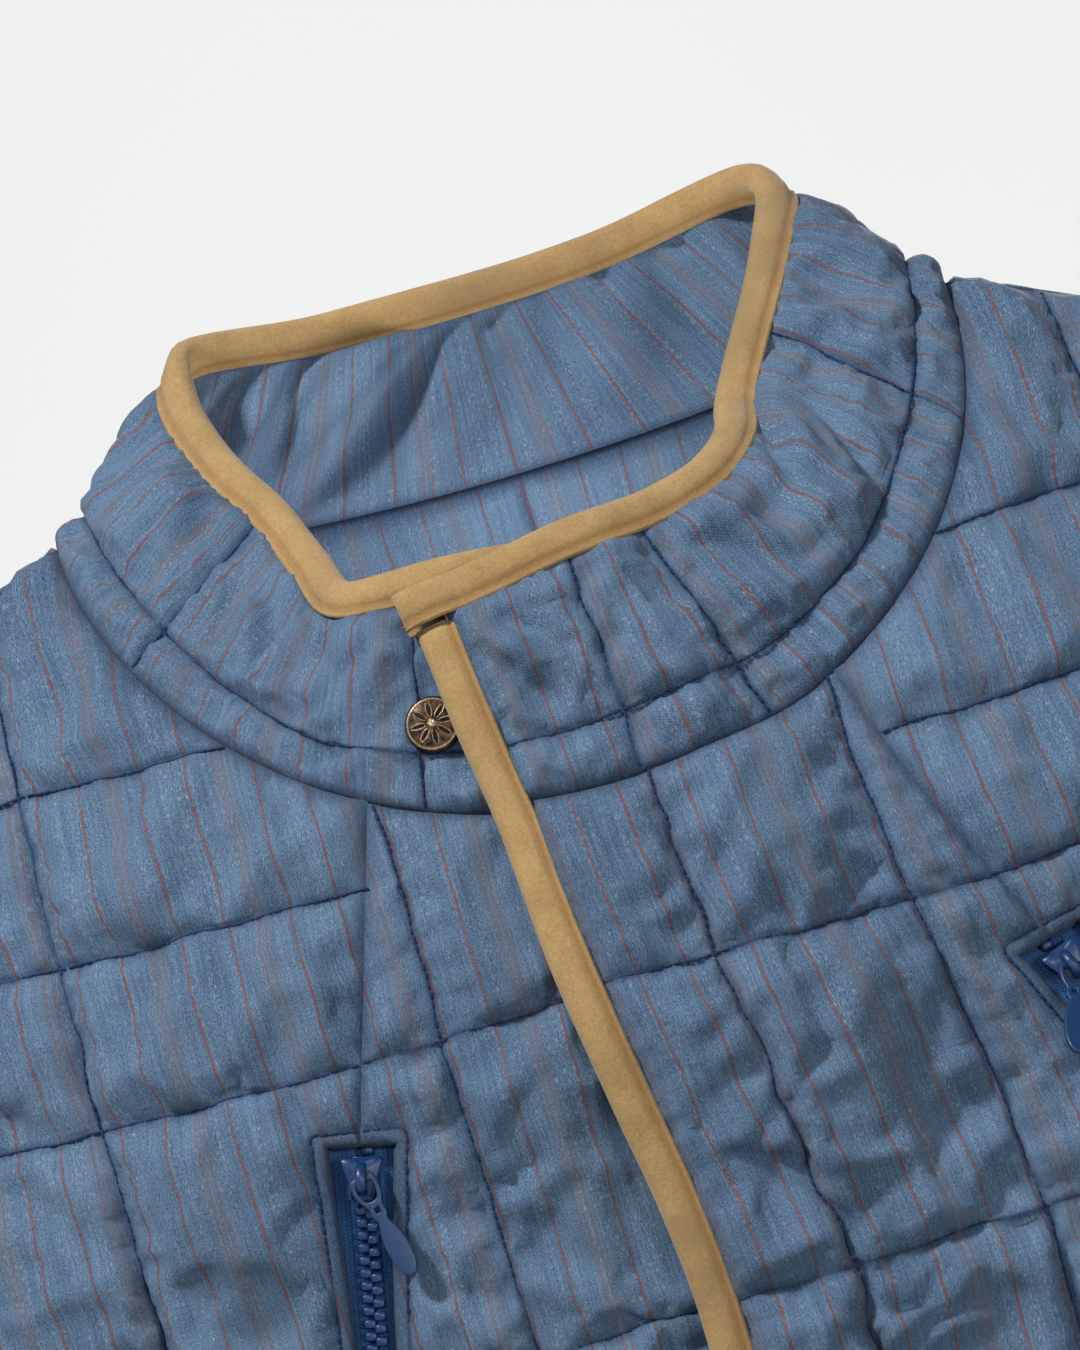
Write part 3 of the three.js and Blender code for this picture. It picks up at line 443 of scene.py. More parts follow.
class Figure:
    """The general figure that the cloth is draped on: a smooth torso with square shoulders."""

    ROUND = 0.8
    REFERENCE = (0.243, 0.114)
    SEAM_DOWN = 0.00004

    def __init__(self) -> None:
        """Works out the curves and the length round the reference section."""
        z = [row.z for row in BODY_ROWS]
        self.width = Curve(z, [row.width for row in BODY_ROWS])
        self.depth = {
            Side.FRONT: Curve(z, [-row.front for row in BODY_ROWS]),
            Side.BACK: Curve(z, [row.back for row in BODY_ROWS]),
        }
        self.angles = np.linspace(0, math.pi / 2, 241)
        across = self.REFERENCE[0] * np.sin(self.angles) ** self.ROUND
        deep = self.REFERENCE[1] * np.clip(np.cos(self.angles), 0, 1) ** self.ROUND
        steps = np.hypot(np.diff(across), np.diff(deep))
        self.lengths = np.concatenate([[0], np.cumsum(steps)])

    @property
    def side(self) -> float:
        """The side seam's distance round the body."""
        return float(self.lengths[-1])

    def angle(self, a: Array) -> Array:
        """The section's angle at a distance round the body."""
        return np.interp(np.abs(a), self.lengths, self.angles)

    def shoulder_height(self, x: Array) -> Array:
        """Height of the shoulder line, level across the neck and falling to the tip."""
        fall = lambda at: CUT.shoulder_slope * CUT.shoulder_round * np.log1p(
            np.exp((at - CUT.shoulder_start) / CUT.shoulder_round))
        return fall(CUT.neck_half) - fall(np.abs(x))

    def point(self, side: Side, a: Array, z: Array) -> Array:
        """Points of the stitched surface.

        Args:
            side: front or back.
            a: distances round the body, negative on the wearer's right.
            z: heights.

        Returns:
            Points, one a row.
        """
        angle = self.angle(a)
        x = np.sign(a) * self.width(z) * np.sin(angle) ** self.ROUND
        crown = np.clip(np.cos(angle), 0, 1) ** self.ROUND
        full = CUT.side_y + (self.depth[side](z) - CUT.side_y) * crown
        fall = FALLS[side]
        down = np.clip((self.shoulder_height(x) - z) / fall.height, 0, 1)
        share = (1 - (1 - down) ** fall.curve) ** fall.crown
        return np.stack([x, CUT.shoulder_y + (full - CUT.shoulder_y) * share, z + 0 * x], axis=-1)

    def normal(self, side: Side, a: Array, z: Array) -> Array:
        """The outward directions of the stitched surface, straight up at the shoulder seam."""
        step = 0.0006
        a, z = np.asarray(a, float), np.asarray(z, float)
        inwards = np.where(a < 0, 1.0, -1.0)
        here = self.point(side, a, z)
        across = (self.point(side, a + inwards * step, z) - here) * inwards[..., None]
        below = self.point(side, a, z - step) - here
        normal = unit(np.cross(below, across) * (1 if side is Side.FRONT else -1))
        part = smoothstep((self.shoulder_height(here[..., 0]) - z) / 0.008)[..., None]
        return unit(np.array([0.0, 0.0, 1.0]) * (1 - part) + normal * part)

    def chart_of(self, x: Array, z: Array) -> Array:
        """The distance round the body of a point at x across and z high."""
        share = np.clip(np.abs(x) / self.width(z), 0, 1)
        angle = np.arcsin(share ** (1 / self.ROUND))
        return np.sign(x) * np.interp(angle, self.angles, self.lengths)


FIGURE = Figure()


def drift(z: Array) -> Array:
    """How far the left front swings outwards at a height."""
    return CUT.drift_width * smoothstep((CUT.drift_top - np.asarray(z)) / CUT.drift_height)


def lift(a: Array) -> Array:
    """How far the left front is raised where it lies over the right one."""
    return CUT.overlap_lift * (1 - smoothstep((np.asarray(a) - CUT.overlap_flat) / CUT.overlap_fade))


def no_shift(z: Array) -> Array:
    """The shift of a panel that hangs straight."""
    return 0 * np.asarray(z)


# ------------------------------------------------------------------ outlines


def slant_at(z: Array) -> Array:
    """The slanted seam's distance from the centre line."""
    heights, places = zip(*SLANT)
    slope = (places[-1] - places[-2]) / (heights[-1] - heights[-2])
    return np.interp(z, heights, places) + np.maximum(np.asarray(z) - heights[-1], 0) * slope


def zip_half(z: Array) -> Array:
    """Half the width of the opening that the pocket zip fills."""
    down = smoothstep((CUT.zip_top - z) / CUT.zip_narrowing)
    open_here = (z <= CUT.zip_top) & (z >= CUT.zip_bottom)
    return np.where(open_here, CUT.zip_wide + (CUT.zip_narrow - CUT.zip_wide) * down, 0)


def neck_place(turn: Array, hand: Hand, side: Side) -> tuple[Array, Array]:
    """Across and up, the neck seam's place at a turn round the neck in degrees."""
    drop = CUT.front_drop if side is Side.FRONT else CUT.back_drop
    shape = CUT.neck_left if hand is Hand.LEFT else CUT.neck_right
    angle = np.radians(turn)
    return hand.value * CUT.neck_half * np.sin(angle), -drop * np.clip(np.cos(angle), 0, 1) ** shape


def neck_edge(start: float, end: float, hand: Hand, side: Side) -> Array:
    """The neck seam between two turns, in the chart, from the centre outwards."""
    x, z = neck_place(np.linspace(start, end, 60), hand, side)
    return np.stack([FIGURE.chart_of(x, z) * hand.value, z - CUT.neck_clear], axis=1)


def shoulder_edge() -> Array:
    """The shoulder seam from the neck to the tip, in the chart."""
    a = np.linspace(FIGURE.chart_of(CUT.neck_half, 0.0), CUT.shoulder_tip, 40)
    x = FIGURE.width(-0.020) * np.sin(FIGURE.angle(a)) ** FIGURE.ROUND
    return np.stack([a, FIGURE.shoulder_height(x) - FIGURE.SEAM_DOWN], axis=1)


def armhole_edge(side: Side) -> Array:
    """The armhole's edge from the shoulder to the side seam, set back by the binding's width."""
    tip = shoulder_edge()[-1]
    knots = np.array([tip, *ARMHOLES[side], (FIGURE.side, CUT.armhole_bottom)])
    along = np.concatenate([[0], np.cumsum(np.sqrt(np.linalg.norm(np.diff(knots, axis=0), axis=1)))])
    at = np.linspace(0, along[-1], 120)
    route = np.stack([Curve(along, knots[:, 0])(at), Curve(along, knots[:, 1])(at)], axis=1)
    route = evenly(route, 0.004)
    run = unit(np.gradient(route, axis=0))
    edge = route + np.stack([run[:, 1], -run[:, 0]], axis=1) * CUT.binding
    x = FIGURE.width(-0.020) * np.sin(FIGURE.angle(tip[0] - CUT.binding)) ** FIGURE.ROUND
    edge[0] = tip[0] - CUT.binding, FIGURE.shoulder_height(x) - FIGURE.SEAM_DOWN
    edge[-1] = FIGURE.side, CUT.armhole_bottom - CUT.binding
    return edge


def slant_edge(way: int, top: float, bottom: float, shift: Callable[[Array], Array]) -> Array:
    """The slanted seam from top to bottom on its inner (-1) or outer (1) side, round the zip."""
    inset = 0.00002
    levels = np.concatenate([
        [top, (top + CUT.zip_top) / 2, CUT.zip_top + inset],
        np.linspace(CUT.zip_top, CUT.zip_bottom, 24),
        [CUT.zip_bottom - inset, -0.420, -0.530, bottom],
    ])
    a = slant_at(levels) + shift(levels) + way * (zip_half(levels) + CUT.gap / 2)
    near_top = np.clip(1 - (CUT.zip_top - levels) / 0.012, 0, 1) * (zip_half(levels) > 0)
    return np.stack([a, levels + way * CUT.zip_cant * near_top], axis=1)


def welt_lines(way: int, shift: Callable[[Array], Array]) -> Array:
    """The stitches beside the zip's opening and over its top, on one side of the seam."""
    levels = np.linspace(CUT.zip_top, CUT.zip_bottom, 24)
    a = slant_at(levels) + way * (zip_half(levels) + CUT.welt)
    sides = np.stack([a, levels + way * CUT.zip_cant * (levels > CUT.zip_top - 0.003)], axis=1)
    corner = [a[0], CUT.zip_top + CUT.welt + way * CUT.zip_cant]
    middle = [slant_at(CUT.zip_top + CUT.welt), CUT.zip_top + CUT.welt]
    return np.concatenate([[middle, corner], sides])


# ------------------------------------------------------------------ quilted panels


@dataclass
class Crease:
    """A soft fold laid into the padding, as a ridge or, below zero, a trough."""

    a: float
    z: float
    turn: float
    length: float
    width: float
    height: float

    def rise(self, a: Array, z: Array) -> Array:
        """The fold's height at places of the chart."""
        angle = math.radians(self.turn)
        along = (a - self.a) * math.cos(angle) + (z - self.z) * math.sin(angle)
        across = -(a - self.a) * math.sin(angle) + (z - self.z) * math.cos(angle)
        across = across + 0.12 * along * along / self.length
        ends = 1 - smoothstep(np.abs(along) / self.length * 2 - 0.2)
        return self.height * ends * np.exp(-((across / self.width) ** 2))


@dataclass
class Seam:
    """A line of stitches in a panel's chart."""

    points: Array
    pucker: float = 0.0013
    stitched: bool = True


@dataclass
class Chart:
    """A panel's flat cut: its outline, its stitch lines and how it's laid in space."""

    name: str
    outline: Array
    uprights: list[Seam]
    levels: list[Seam]
    place: Callable[[Array, Array, Array], Array]
    puff: Callable[[Array, Array], Array]
    spacing: float
    phase: float = 0.0
    rise: float = 0.0030
    rim_pucker: float = 0.0007
    growth: float = 0.06
    pressure: float = 5.0
    creases: list[Crease] = field(default_factory=list)
    inner_creases: list[Crease] = field(default_factory=list)
    inside_puff: float = 0.0012
    inside_quilted: bool = True


class Quilt:
    """A padded panel: a stitched outer cloth blown up between its lines, and a plainer inside."""

    GROOVE_OFFSETS = (0.0008, 0.0021)
    TUCK_OUT = 0.0010
    TUCK_HEIGHT = -0.0008
    WIDE_RISE = 0.014
    CAP = 0.0050
    FRAMES = 14
    FOLD_DEPTH = 1.4
    FOLD_SHARE = 0.8
    SAMPLE = 0.0005
    CLOTH = {
        "quality": 4, "mass": 0.15, "tension_stiffness": 12, "compression_stiffness": 8,
        "shear_stiffness": 4, "bending_stiffness": 0.08, "air_damping": 2,
        "vertex_group_mass": "stitched", "use_pressure": True,
    }

    def __init__(self, chart: Chart) -> None:
        """Keeps the chart and lays out its points."""
        self.chart = chart
        self.points, self.triangles = self._lay_out()
        rim = Seam(np.concatenate([chart.outline, chart.outline[:1]]), chart.rim_pucker)
        fields = [self._near([rim], 1), self._near(chart.uprights, 2), self._near(chart.levels, 3)]
        self.outline_distance, self.upright_distance, self.level_distance = (f[0] for f in fields)
        self.pucker = sum(f[1] for f in fields)

    def _near(self, seams: list[Seam], seed: int) -> tuple[Array, Array]:
        """Each point's distance to the nearest of some seams, and the puckers' height there.

        Args:
            seams: the lines of stitches.
            seed: which waves the puckers take.

        Returns:
            The distances and the heights.
        """
        if not seams:
            return np.full(len(self.points), 1.0), np.zeros(len(self.points))
        samples, runs, along, amount, number = [], [], [], [], []
        for k, seam in enumerate(seams):
            line = evenly(seam.points, self.SAMPLE)
            samples.append(line)
            runs.append(unit(np.gradient(line, axis=0)))
            along.append(np.arange(len(line)) * self.SAMPLE)
            amount.append(np.full(len(line), seam.pucker))
            number.append(np.full(len(line), k))
        samples, runs, along, amount, number = map(
            np.concatenate, (samples, runs, along, amount, number))
        tree = tree_of(samples)
        found = [tree.find((p[0], p[1], 0.0))[1:] for p in self.points]
        index = np.array([f[0] for f in found])
        away = np.array([f[1] for f in found])
        offset = self.points - samples[index]
        side = np.sign(runs[index][:, 0] * offset[:, 1] - runs[index][:, 1] * offset[:, 0])
        ripple = Ripple(500 + seed)
        row = number[index] * 7.3 + side * 2.1 + 40 * seed
        lean = ripple(along[index] / 0.045, row + 11) * 0.9
        s = along[index] + lean * away
        fine = ripple(s / 0.0052, row) * np.exp(-((away / 0.0050) ** 2))
        long = ripple(s / 0.0100, row + 3.7) * np.exp(-((away / 0.0125) ** 2))
        wave = (0.50 * fine + 0.9 * long) * (1 - np.exp(-((away / 0.0016) ** 2)))
        return away, amount[index] * wave

    def _lay_out(self) -> tuple[Array, list[list[int]]]:
        """Triangles over the cut, closer at the stitch lines.

        Returns:
            The chart's points and the triangles between them.
        """
        chart, step = self.chart, self.chart.spacing
        rim = resampled(chart.outline, step, True)
        kept = [rim]
        fine = max(step * 0.85, 0.0022)
        layers: list[tuple[Array, float]] = []
        for offset, clear in zip((0.0, *self.GROOVE_OFFSETS), (0.8, 0.72, 0.95)):
            rows = []
            for seam in chart.uprights + chart.levels:
                line = evenly(seam.points, fine)
                run = unit(np.gradient(line, axis=0))
                across = np.stack([-run[:, 1], run[:, 0]], axis=1)
                rows += [line] if offset == 0 else [line + across * offset, line - across * offset]
            layers.append((np.concatenate(rows), clear * MM))
        low, high = rim.min(axis=0), rim.max(axis=0)
        height = step * math.sqrt(3) / 2
        across = np.arange(low[0], high[0], step)
        up = np.arange(low[1] + height / 2, high[1], height)
        grid = np.stack(np.meshgrid(across, up), axis=-1)
        grid[1::2, :, 0] += step / 2
        layers.append((grid.reshape(-1, 2), step * 0.72))
        for candidates, clear in layers:
            candidates = candidates[inside(candidates, rim)]
            near = distance_to(candidates, np.concatenate(kept))
            candidates = candidates[near > clear]
            if len(candidates):
                kept.append(candidates)
        points = np.concatenate(kept)
        ring = list(range(len(rim)))
        made = delaunay_2d_cdt([Vector(p) for p in points], [], [ring], 1, 1e-7, False)
        laid, triangles = np.array([tuple(v) for v in made[0]]), np.array([list(f) for f in made[2]])
        triangles = triangles[inside(laid[triangles].mean(axis=1), rim)]
        used = np.unique(triangles)
        number = np.full(len(laid), -1)
        number[used] = np.arange(len(used))
        return laid[used], number[triangles].tolist()

    def _height(self) -> Array:
        """The outer face's height over the stitched surface."""
        chart = self.chart
        a, z = self.points[:, 0], self.points[:, 1]
        height = chart.puff(a, z)
        for distance in (self.outline_distance, self.upright_distance, self.level_distance):
            steep, wide = (1 - np.exp(-distance / span) for span in (chart.rise, self.WIDE_RISE))
            height = height * (0.58 * steep + 0.42 * wide)
        swell = Ripple(900)
        broad = swell(a / 0.015 + 50, z / 0.034 + 30)
        broad = broad + 0.7 * swell((a + z) / 0.017 + 90, (a - z) / 0.030 + 10)
        return height * (1 + 0.30 * broad) + 0.5 * self.pucker + CUT.stitch_height

    def _folds(self, puffed: Array) -> Array:
        """The height of the folds and puckers that the blown-up cloth keeps.

        Args:
            puffed: the outer face's height without them.

        Returns:
            How much they add to it.
        """
        a, z = self.points[:, 0], self.points[:, 1]
        sewn = np.minimum(self.upright_distance, self.level_distance)
        height = 0.6 * self.pucker
        for crease in self.chart.creases:
            fold = self.FOLD_DEPTH * crease.rise(a, z)
            height = height + fold * (1 - np.exp(-((sewn / 0.0022) ** 2)))
        kept = 1 - np.exp(-self.outline_distance / 0.003)
        return np.maximum(height, -self.FOLD_SHARE * puffed) * kept

    def _inner_height(self) -> Array:
        """The inner face's height, with a shallower puff than the outer one."""
        a, z = self.points[:, 0], self.points[:, 1]
        swell = Ripple(910)
        height = self.chart.inside_puff * (1 + 0.6 * swell(a / 0.011 + 50, z / 0.026 + 30))
        distances = [self.outline_distance]
        if self.chart.inside_quilted:
            distances += [self.upright_distance, self.level_distance]
        for distance in distances:
            height = height * (1 - np.exp(-distance / 0.005))
        for crease in self.chart.inner_creases:
            fold = self.FOLD_DEPTH * crease.rise(a, z)
            height = height + fold * (1 - np.exp(-self.outline_distance / 0.004))
        return -CUT.wall_in - np.maximum(height, -0.0018)

    def _depths(self, tucked: int) -> tuple[Array, Array]:
        """How deep in a seam's groove, and how near one, each of the mesh's points is: masks for the painted
        groove shadow and painted shade.

        Args:
            tucked: how many points lie on the tucked rim.

        Returns:
            Two rows of numbers from 0 to 1.
        """
        sewn = np.minimum(self.upright_distance, self.level_distance)
        either = np.minimum(sewn, self.outline_distance)
        # Thread colour along the stitch lines, widened into painted groove shadow; beside the outline it is
        # painted contact shadow only.
        groove = np.maximum(
            np.exp(-((sewn / 0.00085) ** 2)),
            0.6 * np.exp(-((self.outline_distance / 0.0007) ** 2)))
        # Painted shade: the cloth darkened beside every seam and edge, where the puffs shade it.
        shade = np.exp(-either / 0.0032)
        plain = self.outline_distance if not self.chart.inside_quilted else either
        # The inside's seams darkened, partly seam colour and partly painted shadow.
        inner = 0.7 * np.exp(-((plain / 0.0012) ** 2))
        # The tucked rim is painted fully dark with both masks, as shade.
        rim = np.ones(tucked)
        return (np.concatenate([groove, inner, rim]),
                np.concatenate([shade, 0.6 * np.exp(-plain / 0.0040), rim]))

    def _settle(self, outer: Array) -> Array:
        """Blows the outer cloth up between its stitch lines with a cloth simulation.

        Args:
            outer: the outer cloth's points before.

        Returns:
            Its points once settled.
        """
        obj = mesh_object(self.chart.name + "_blown", outer, self.triangles)
        nearest = np.minimum(np.minimum(self.outline_distance, self.upright_distance), self.level_distance)
        group = obj.vertex_groups.new(name="stitched")
        group.add(np.flatnonzero(nearest < 0.0003).tolist(), 1.0, "REPLACE")
        cloth = obj.modifiers.new("settle", "CLOTH")
        look = cloth.settings
        for key, value in self.CLOTH.items():
            setattr(look, key, value)
        look.shrink_min = -self.chart.growth
        look.uniform_pressure_force = self.chart.pressure
        look.effector_weights.gravity = 0
        cloth.collision_settings.use_collision = False
        cloth.point_cache.frame_start = 1
        cloth.point_cache.frame_end = self.FRAMES
        scene = bpy.context.scene
        for number in range(1, self.FRAMES + 1):
            scene.frame_set(number)
        settled = np.empty(len(outer) * 3)
        evaluated = obj.evaluated_get(bpy.context.evaluated_depsgraph_get())
        evaluated.data.vertices.foreach_get("co", settled)
        scene.frame_set(1)
        bpy.data.objects.remove(obj)
        move = settled.reshape(-1, 3) - outer
        far = np.linalg.norm(move, axis=1, keepdims=True)
        move *= np.minimum(1, self.CAP / np.maximum(far, 1e-9))
        loose = 1 - np.exp(-((nearest / 0.0008) ** 2))
        return outer + move * loose[:, None]

    def _rim(self) -> tuple[list[tuple[int, int]], Array, Array]:
        """The outline's edges and, for each of its points, a tucked one just outside.

        Returns:
            The edges, the numbers of the points on the rim and the tucked places in the chart.
        """
        once: dict[tuple[int, int], None] = {}
        for p, q, r in self.triangles:
            for start, end in ((p, q), (q, r), (r, p)):
                if (end, start) in once:
                    del once[(end, start)]
                else:
                    once[(start, end)] = None
        edges = list(once)
        outward = np.zeros_like(self.points)
        for start, end in edges:
            run = self.points[end] - self.points[start]
            side = np.array([run[1], -run[0]]) / max(np.hypot(*run), 1e-9)
            outward[start] += side
            outward[end] += side
        numbers = np.array(sorted({n for edge in edges for n in edge}))
        return edges, numbers, self.points[numbers] + unit(outward[numbers]) * self.TUCK_OUT

    def build(self, finish: bpy.types.Material) -> bpy.types.Object:
        """Makes the panel's closed mesh.

        Args:
            finish: the cloth's material.

        Returns:
            The panel's object.
        """
        chart = self.chart
        a, z = self.points[:, 0], self.points[:, 1]
        height = self._height()
        blown = chart.place(a, z, height)
        outer = self._settle(blown) + chart.place(a, z, height + self._folds(height)) - blown
        inner = chart.place(a, z, self._inner_height())
        edges, numbers, tucked = self._rim()
        rim = chart.place(tucked[:, 0], tucked[:, 1], np.full(len(tucked), self.TUCK_HEIGHT))
        count = len(outer)
        rim_of = {int(n): 2 * count + i for i, n in enumerate(numbers)}
        faces = [list(f) for f in self.triangles]
        faces += [[count + p, count + r, count + q] for p, q, r in self.triangles]
        for p, q in edges:
            faces += [[p, rim_of[p], rim_of[q], q], [rim_of[p], count + p, count + q, rim_of[q]]]
        obj = mesh_object(chart.name + "_cloth", np.concatenate([outer, inner, rim]), faces)
        uv = np.concatenate([self.points, self.points, tucked]) - np.array([chart.phase, 0.0])
        give_chart(obj, uv)
        # The masks of the seam colour with painted groove shadow, and of painted shade.
        for name, depths in zip(("groove", "shade"), self._depths(len(tucked))):
            give_value(obj, name, depths)
        obj.data.materials.append(finish)
        face_out(obj)
        return obj

    def stitches(self) -> list[tuple[Array, Array]]:
        """The stitch lines in space, just over the cloth, and the directions off it."""
        lines = []
        for seam in self.chart.uprights + self.chart.levels:
            if not seam.stitched:
                continue
            line = evenly(seam.points, 0.0015)
            keep = inside(line, self.chart.outline)
            height = np.full(len(line), CUT.stitch_height + 0.0002)
            place = self.chart.place(line[:, 0], line[:, 1], height)
            out = unit(self.chart.place(line[:, 0], line[:, 1], height + 0.001) - place)
            breaks = np.flatnonzero(np.diff(keep.astype(int)) != 0) + 1
            for run in np.split(np.arange(len(line)), breaks):
                if len(run) > 3 and keep[run[0]]:
                    lines.append((place[run], out[run]))
        return lines


# ------------------------------------------------------------------ body panels


def wobbled(points: Array, amount: float, seed: int, wave: float = 0.011) -> Array:
    """A straight line of stitches pulled a little from side to side by its puckers."""
    line = evenly(points, 0.0015)
    run = unit(np.gradient(line, axis=0))
    along = np.arange(len(line)) * 0.0015
    ripple = Ripple(seed)
    sway = ripple(along / wave, 0.5) + 0.5 * ripple(along / wave * 2.3, 7.5)
    ends = smoothstep(along / 0.01) * smoothstep((along[-1] - along) / 0.01)
    return line + np.stack([-run[:, 1], run[:, 0]], axis=1) * (amount * sway * ends)[:, None]


def gathers(seed: int, at: float, bottom: float, reach: float) -> list[Crease]:
    """Short slanting folds pulled out of the padding by an upright line of stitches.

    Args:
        seed: which folds.
        at: the line's place in the chart.
        bottom: the height of the lowest fold.
        reach: how far the folds' middles lie from the line.

    Returns:
        The folds.
    """
    draw = np.random.default_rng(seed)
    folds, z = [], -0.070
    while z > bottom:
        way = 1 if draw.uniform() > 0.5 else -1
        lean = draw.uniform(18, 52) * (1 if draw.uniform() > 0.3 else -1)
        folds.append(Crease(
            at + way * draw.uniform(0.5, 1.1) * reach, z, way * lean, draw.uniform(0.018, 0.034),
            draw.uniform(0.0022, 0.0036), -draw.uniform(0.0014, 0.0030)))
        z -= draw.uniform(0.007, 0.015)
    return folds


def scattered(
    seed: int, low: tuple[float, float], high: tuple[float, float], count: int
) -> list[Crease]:
    """Soft folds here and there over a panel.

    Args:
        seed: which folds.
        low: the least place across and up.
        high: the greatest.
        count: how many.

    Returns:
        The folds.
    """
    draw = np.random.default_rng(seed)
    return [
        Crease(
            draw.uniform(low[0], high[0]), draw.uniform(low[1], high[1]), draw.normal(62, 34),
            draw.uniform(0.024, 0.050), draw.uniform(0.0030, 0.0058),
            draw.choice([-1, 0.7]) * draw.uniform(0.0012, 0.0028))
        for _ in range(count)
    ]


@dataclass
class BodyPanels:
    """The five panels of the body."""

    front_spacing: float = 0.0022
    side_spacing: float = 0.0026
    back_spacing: float = 0.0038
    wobble: float = 0.0007
    placket_wobble: float = 0.0014
    first_upright: float = 0.055
    upright_pucker: float = 0.0017
    placket_pucker: float = 0.0032
    welt_pucker: float = 0.0003

    def _uprights(self, seed: int, placket: bool = False) -> list[Seam]:
        """The upright stitch lines of a front panel, with the placket's where it has one."""
        z = np.linspace(0.035, CUT.bottom - 0.002, 60)
        lines = [
            (self.first_upright + CUT.pitch * i, self.wobble, self.upright_pucker)
            for i in range(4)
        ]
        if placket:
            lines.append((CUT.overlap_stitch, self.placket_wobble, self.placket_pucker))
        return [
            Seam(wobbled(np.stack([at + 0 * z, z], axis=1), sway, seed + i), pucker)
            for i, (at, sway, pucker) in enumerate(lines)
        ]

    def _levels(
        self, heights: Sequence[float], last: float, seed: int, first: float = -0.06
    ) -> list[Seam]:
        """The level stitch lines of a panel."""
        a = np.linspace(first, last, 60)
        return [
            Seam(wobbled(np.stack([a, h + 0 * a], axis=1), self.wobble, seed + i))
            for i, h in enumerate(heights)
        ]

    def _place(
        self, side: Side, hand: Hand, shift: Callable[[Array], Array], raised: bool
    ) -> Callable[[Array, Array, Array], Array]:
        """How a panel's chart is laid on the figure."""

        def place(g: Array, z: Array, height: Array) -> Array:
            a = (g + shift(z)) * hand.value
            up = lift(a) if raised else 0.0
            return FIGURE.point(side, a, z) + FIGURE.normal(side, a, z) * (height + up)[:, None]

        return place

    def outer_front(self, hand: Hand) -> Chart:
        """The side and shoulder panel of one front."""
        shift = drift if hand is Hand.LEFT else no_shift
        neck = neck_edge(CUT.slant_turn, 89, hand, Side.FRONT)
        neck[0, 0] = slant_at(neck[0, 1]) + CUT.gap / 2
        side = FIGURE.side - CUT.gap / 2
        edge = slant_edge(1, neck[0, 1], CUT.bottom, shift)
        outline = np.concatenate([
            neck, shoulder_edge()[1:-1], armhole_edge(Side.FRONT)[:-1],
            [[side, CUT.armhole_bottom - CUT.binding], [side, CUT.bottom]], edge[1:][::-1],
        ])
        outline[:, 0] -= shift(outline[:, 1])
        seed = 20 if hand is Hand.LEFT else 40
        return Chart(
            name=f"{hand.name.lower()}_front_outer",
            outline=outline,
            uprights=[*self._uprights(seed), Seam(welt_lines(1, shift), self.welt_pucker)],
            levels=self._levels([*CUT.yoke_rows, *CUT.rows], FIGURE.side + 0.01, seed + 8),
            place=self._place(Side.FRONT, hand, shift, False),
            puff=lambda a, z: CUT.puff + 0 * a,
            spacing=self.side_spacing,
            creases=scattered(seed, (0.06, CUT.bottom), (FIGURE.side, 0.0), 150),
        )

    def inner_front(self, hand: Hand) -> Chart:
        """The centre panel of one front; the left one lies over the right one."""
        over = hand is Hand.LEFT
        shift = drift if over else no_shift
        start = (CUT.overlap_edge if over else -CUT.overlap_under) + CUT.binding
        turn = math.degrees(math.asin(start / CUT.neck_half))
        neck = neck_edge(turn, CUT.slant_turn, hand, Side.FRONT)
        neck[-1, 0] = slant_at(neck[-1, 1]) - CUT.gap / 2
        z = np.linspace(neck[0, 1], CUT.bottom, 30)
        edge = np.stack([start + shift(z), z], axis=1)
        outline = np.concatenate([
            edge[1:][::-1], neck, slant_edge(-1, neck[-1, 1], CUT.bottom, shift)[1:],
        ])
        outline[:, 0] -= shift(outline[:, 1])
        seed = 60 if over else 80
        flat = (lambda a, z: CUT.puff + 0 * a) if over else (
            lambda a, z: CUT.puff * (1 - 0.55 * smoothstep((-a + 0.05) / 0.03)))
        return Chart(
            name=f"{hand.name.lower()}_front_inner",
            outline=outline,
            uprights=[*self._uprights(seed, over), Seam(welt_lines(-1, shift), self.welt_pucker)],
            levels=self._levels(CUT.rows, FIGURE.side + 0.01, seed + 8),
            place=self._place(Side.FRONT, hand, shift, over),
            puff=flat,
            spacing=self.front_spacing,
            creases=[
                *(gathers(seed, CUT.overlap_stitch, CUT.bottom, 0.011) if over else []),
                *gathers(seed + 1, self.first_upright, CUT.bottom, 0.012)[::2],
                *scattered(seed, (start, CUT.bottom), (0.16, -0.06), 130),
            ],
        )

    def back(self) -> Chart:
        """The back, cut in one."""
        side = FIGURE.side - CUT.gap / 2
        half = {
            hand: np.concatenate([
                neck_edge(2, 89, hand, Side.BACK), shoulder_edge()[1:-1], armhole_edge(Side.BACK)[:-1],
                [[side, CUT.armhole_bottom - CUT.binding], [side, CUT.bottom]],
            ])
            for hand in Hand
        }
        outline = np.concatenate([half[Hand.LEFT], (half[Hand.RIGHT] * [-1, 1])[::-1]])
        z = np.linspace(0.010, CUT.bottom - 0.002, 60)
        uprights = [
            Seam(wobbled(np.stack([CUT.pitch * i + 0 * z, z], axis=1), self.wobble, 103 + i))
            for i in range(-3, 4)
        ]
        return Chart(
            name="back",
            outline=outline,
            uprights=uprights,
            levels=self._levels(
                [CUT.chest_row + CUT.row_pitch, *CUT.rows], FIGURE.side + 0.01, 120, -FIGURE.side - 0.01),
            place=self._place(Side.BACK, Hand.LEFT, no_shift, False),
            puff=lambda a, z: CUT.puff + 0 * a,
            spacing=self.back_spacing,
            creases=scattered(140, (-FIGURE.side, CUT.bottom), (FIGURE.side, 0.0), 200),
        )

    def charts(self) -> list[Chart]:
        """All five panels."""
        return [
            self.back(),
            *(self.inner_front(hand) for hand in Hand),
            *(self.outer_front(hand) for hand in Hand),
        ]


# ------------------------------------------------------------------ collar


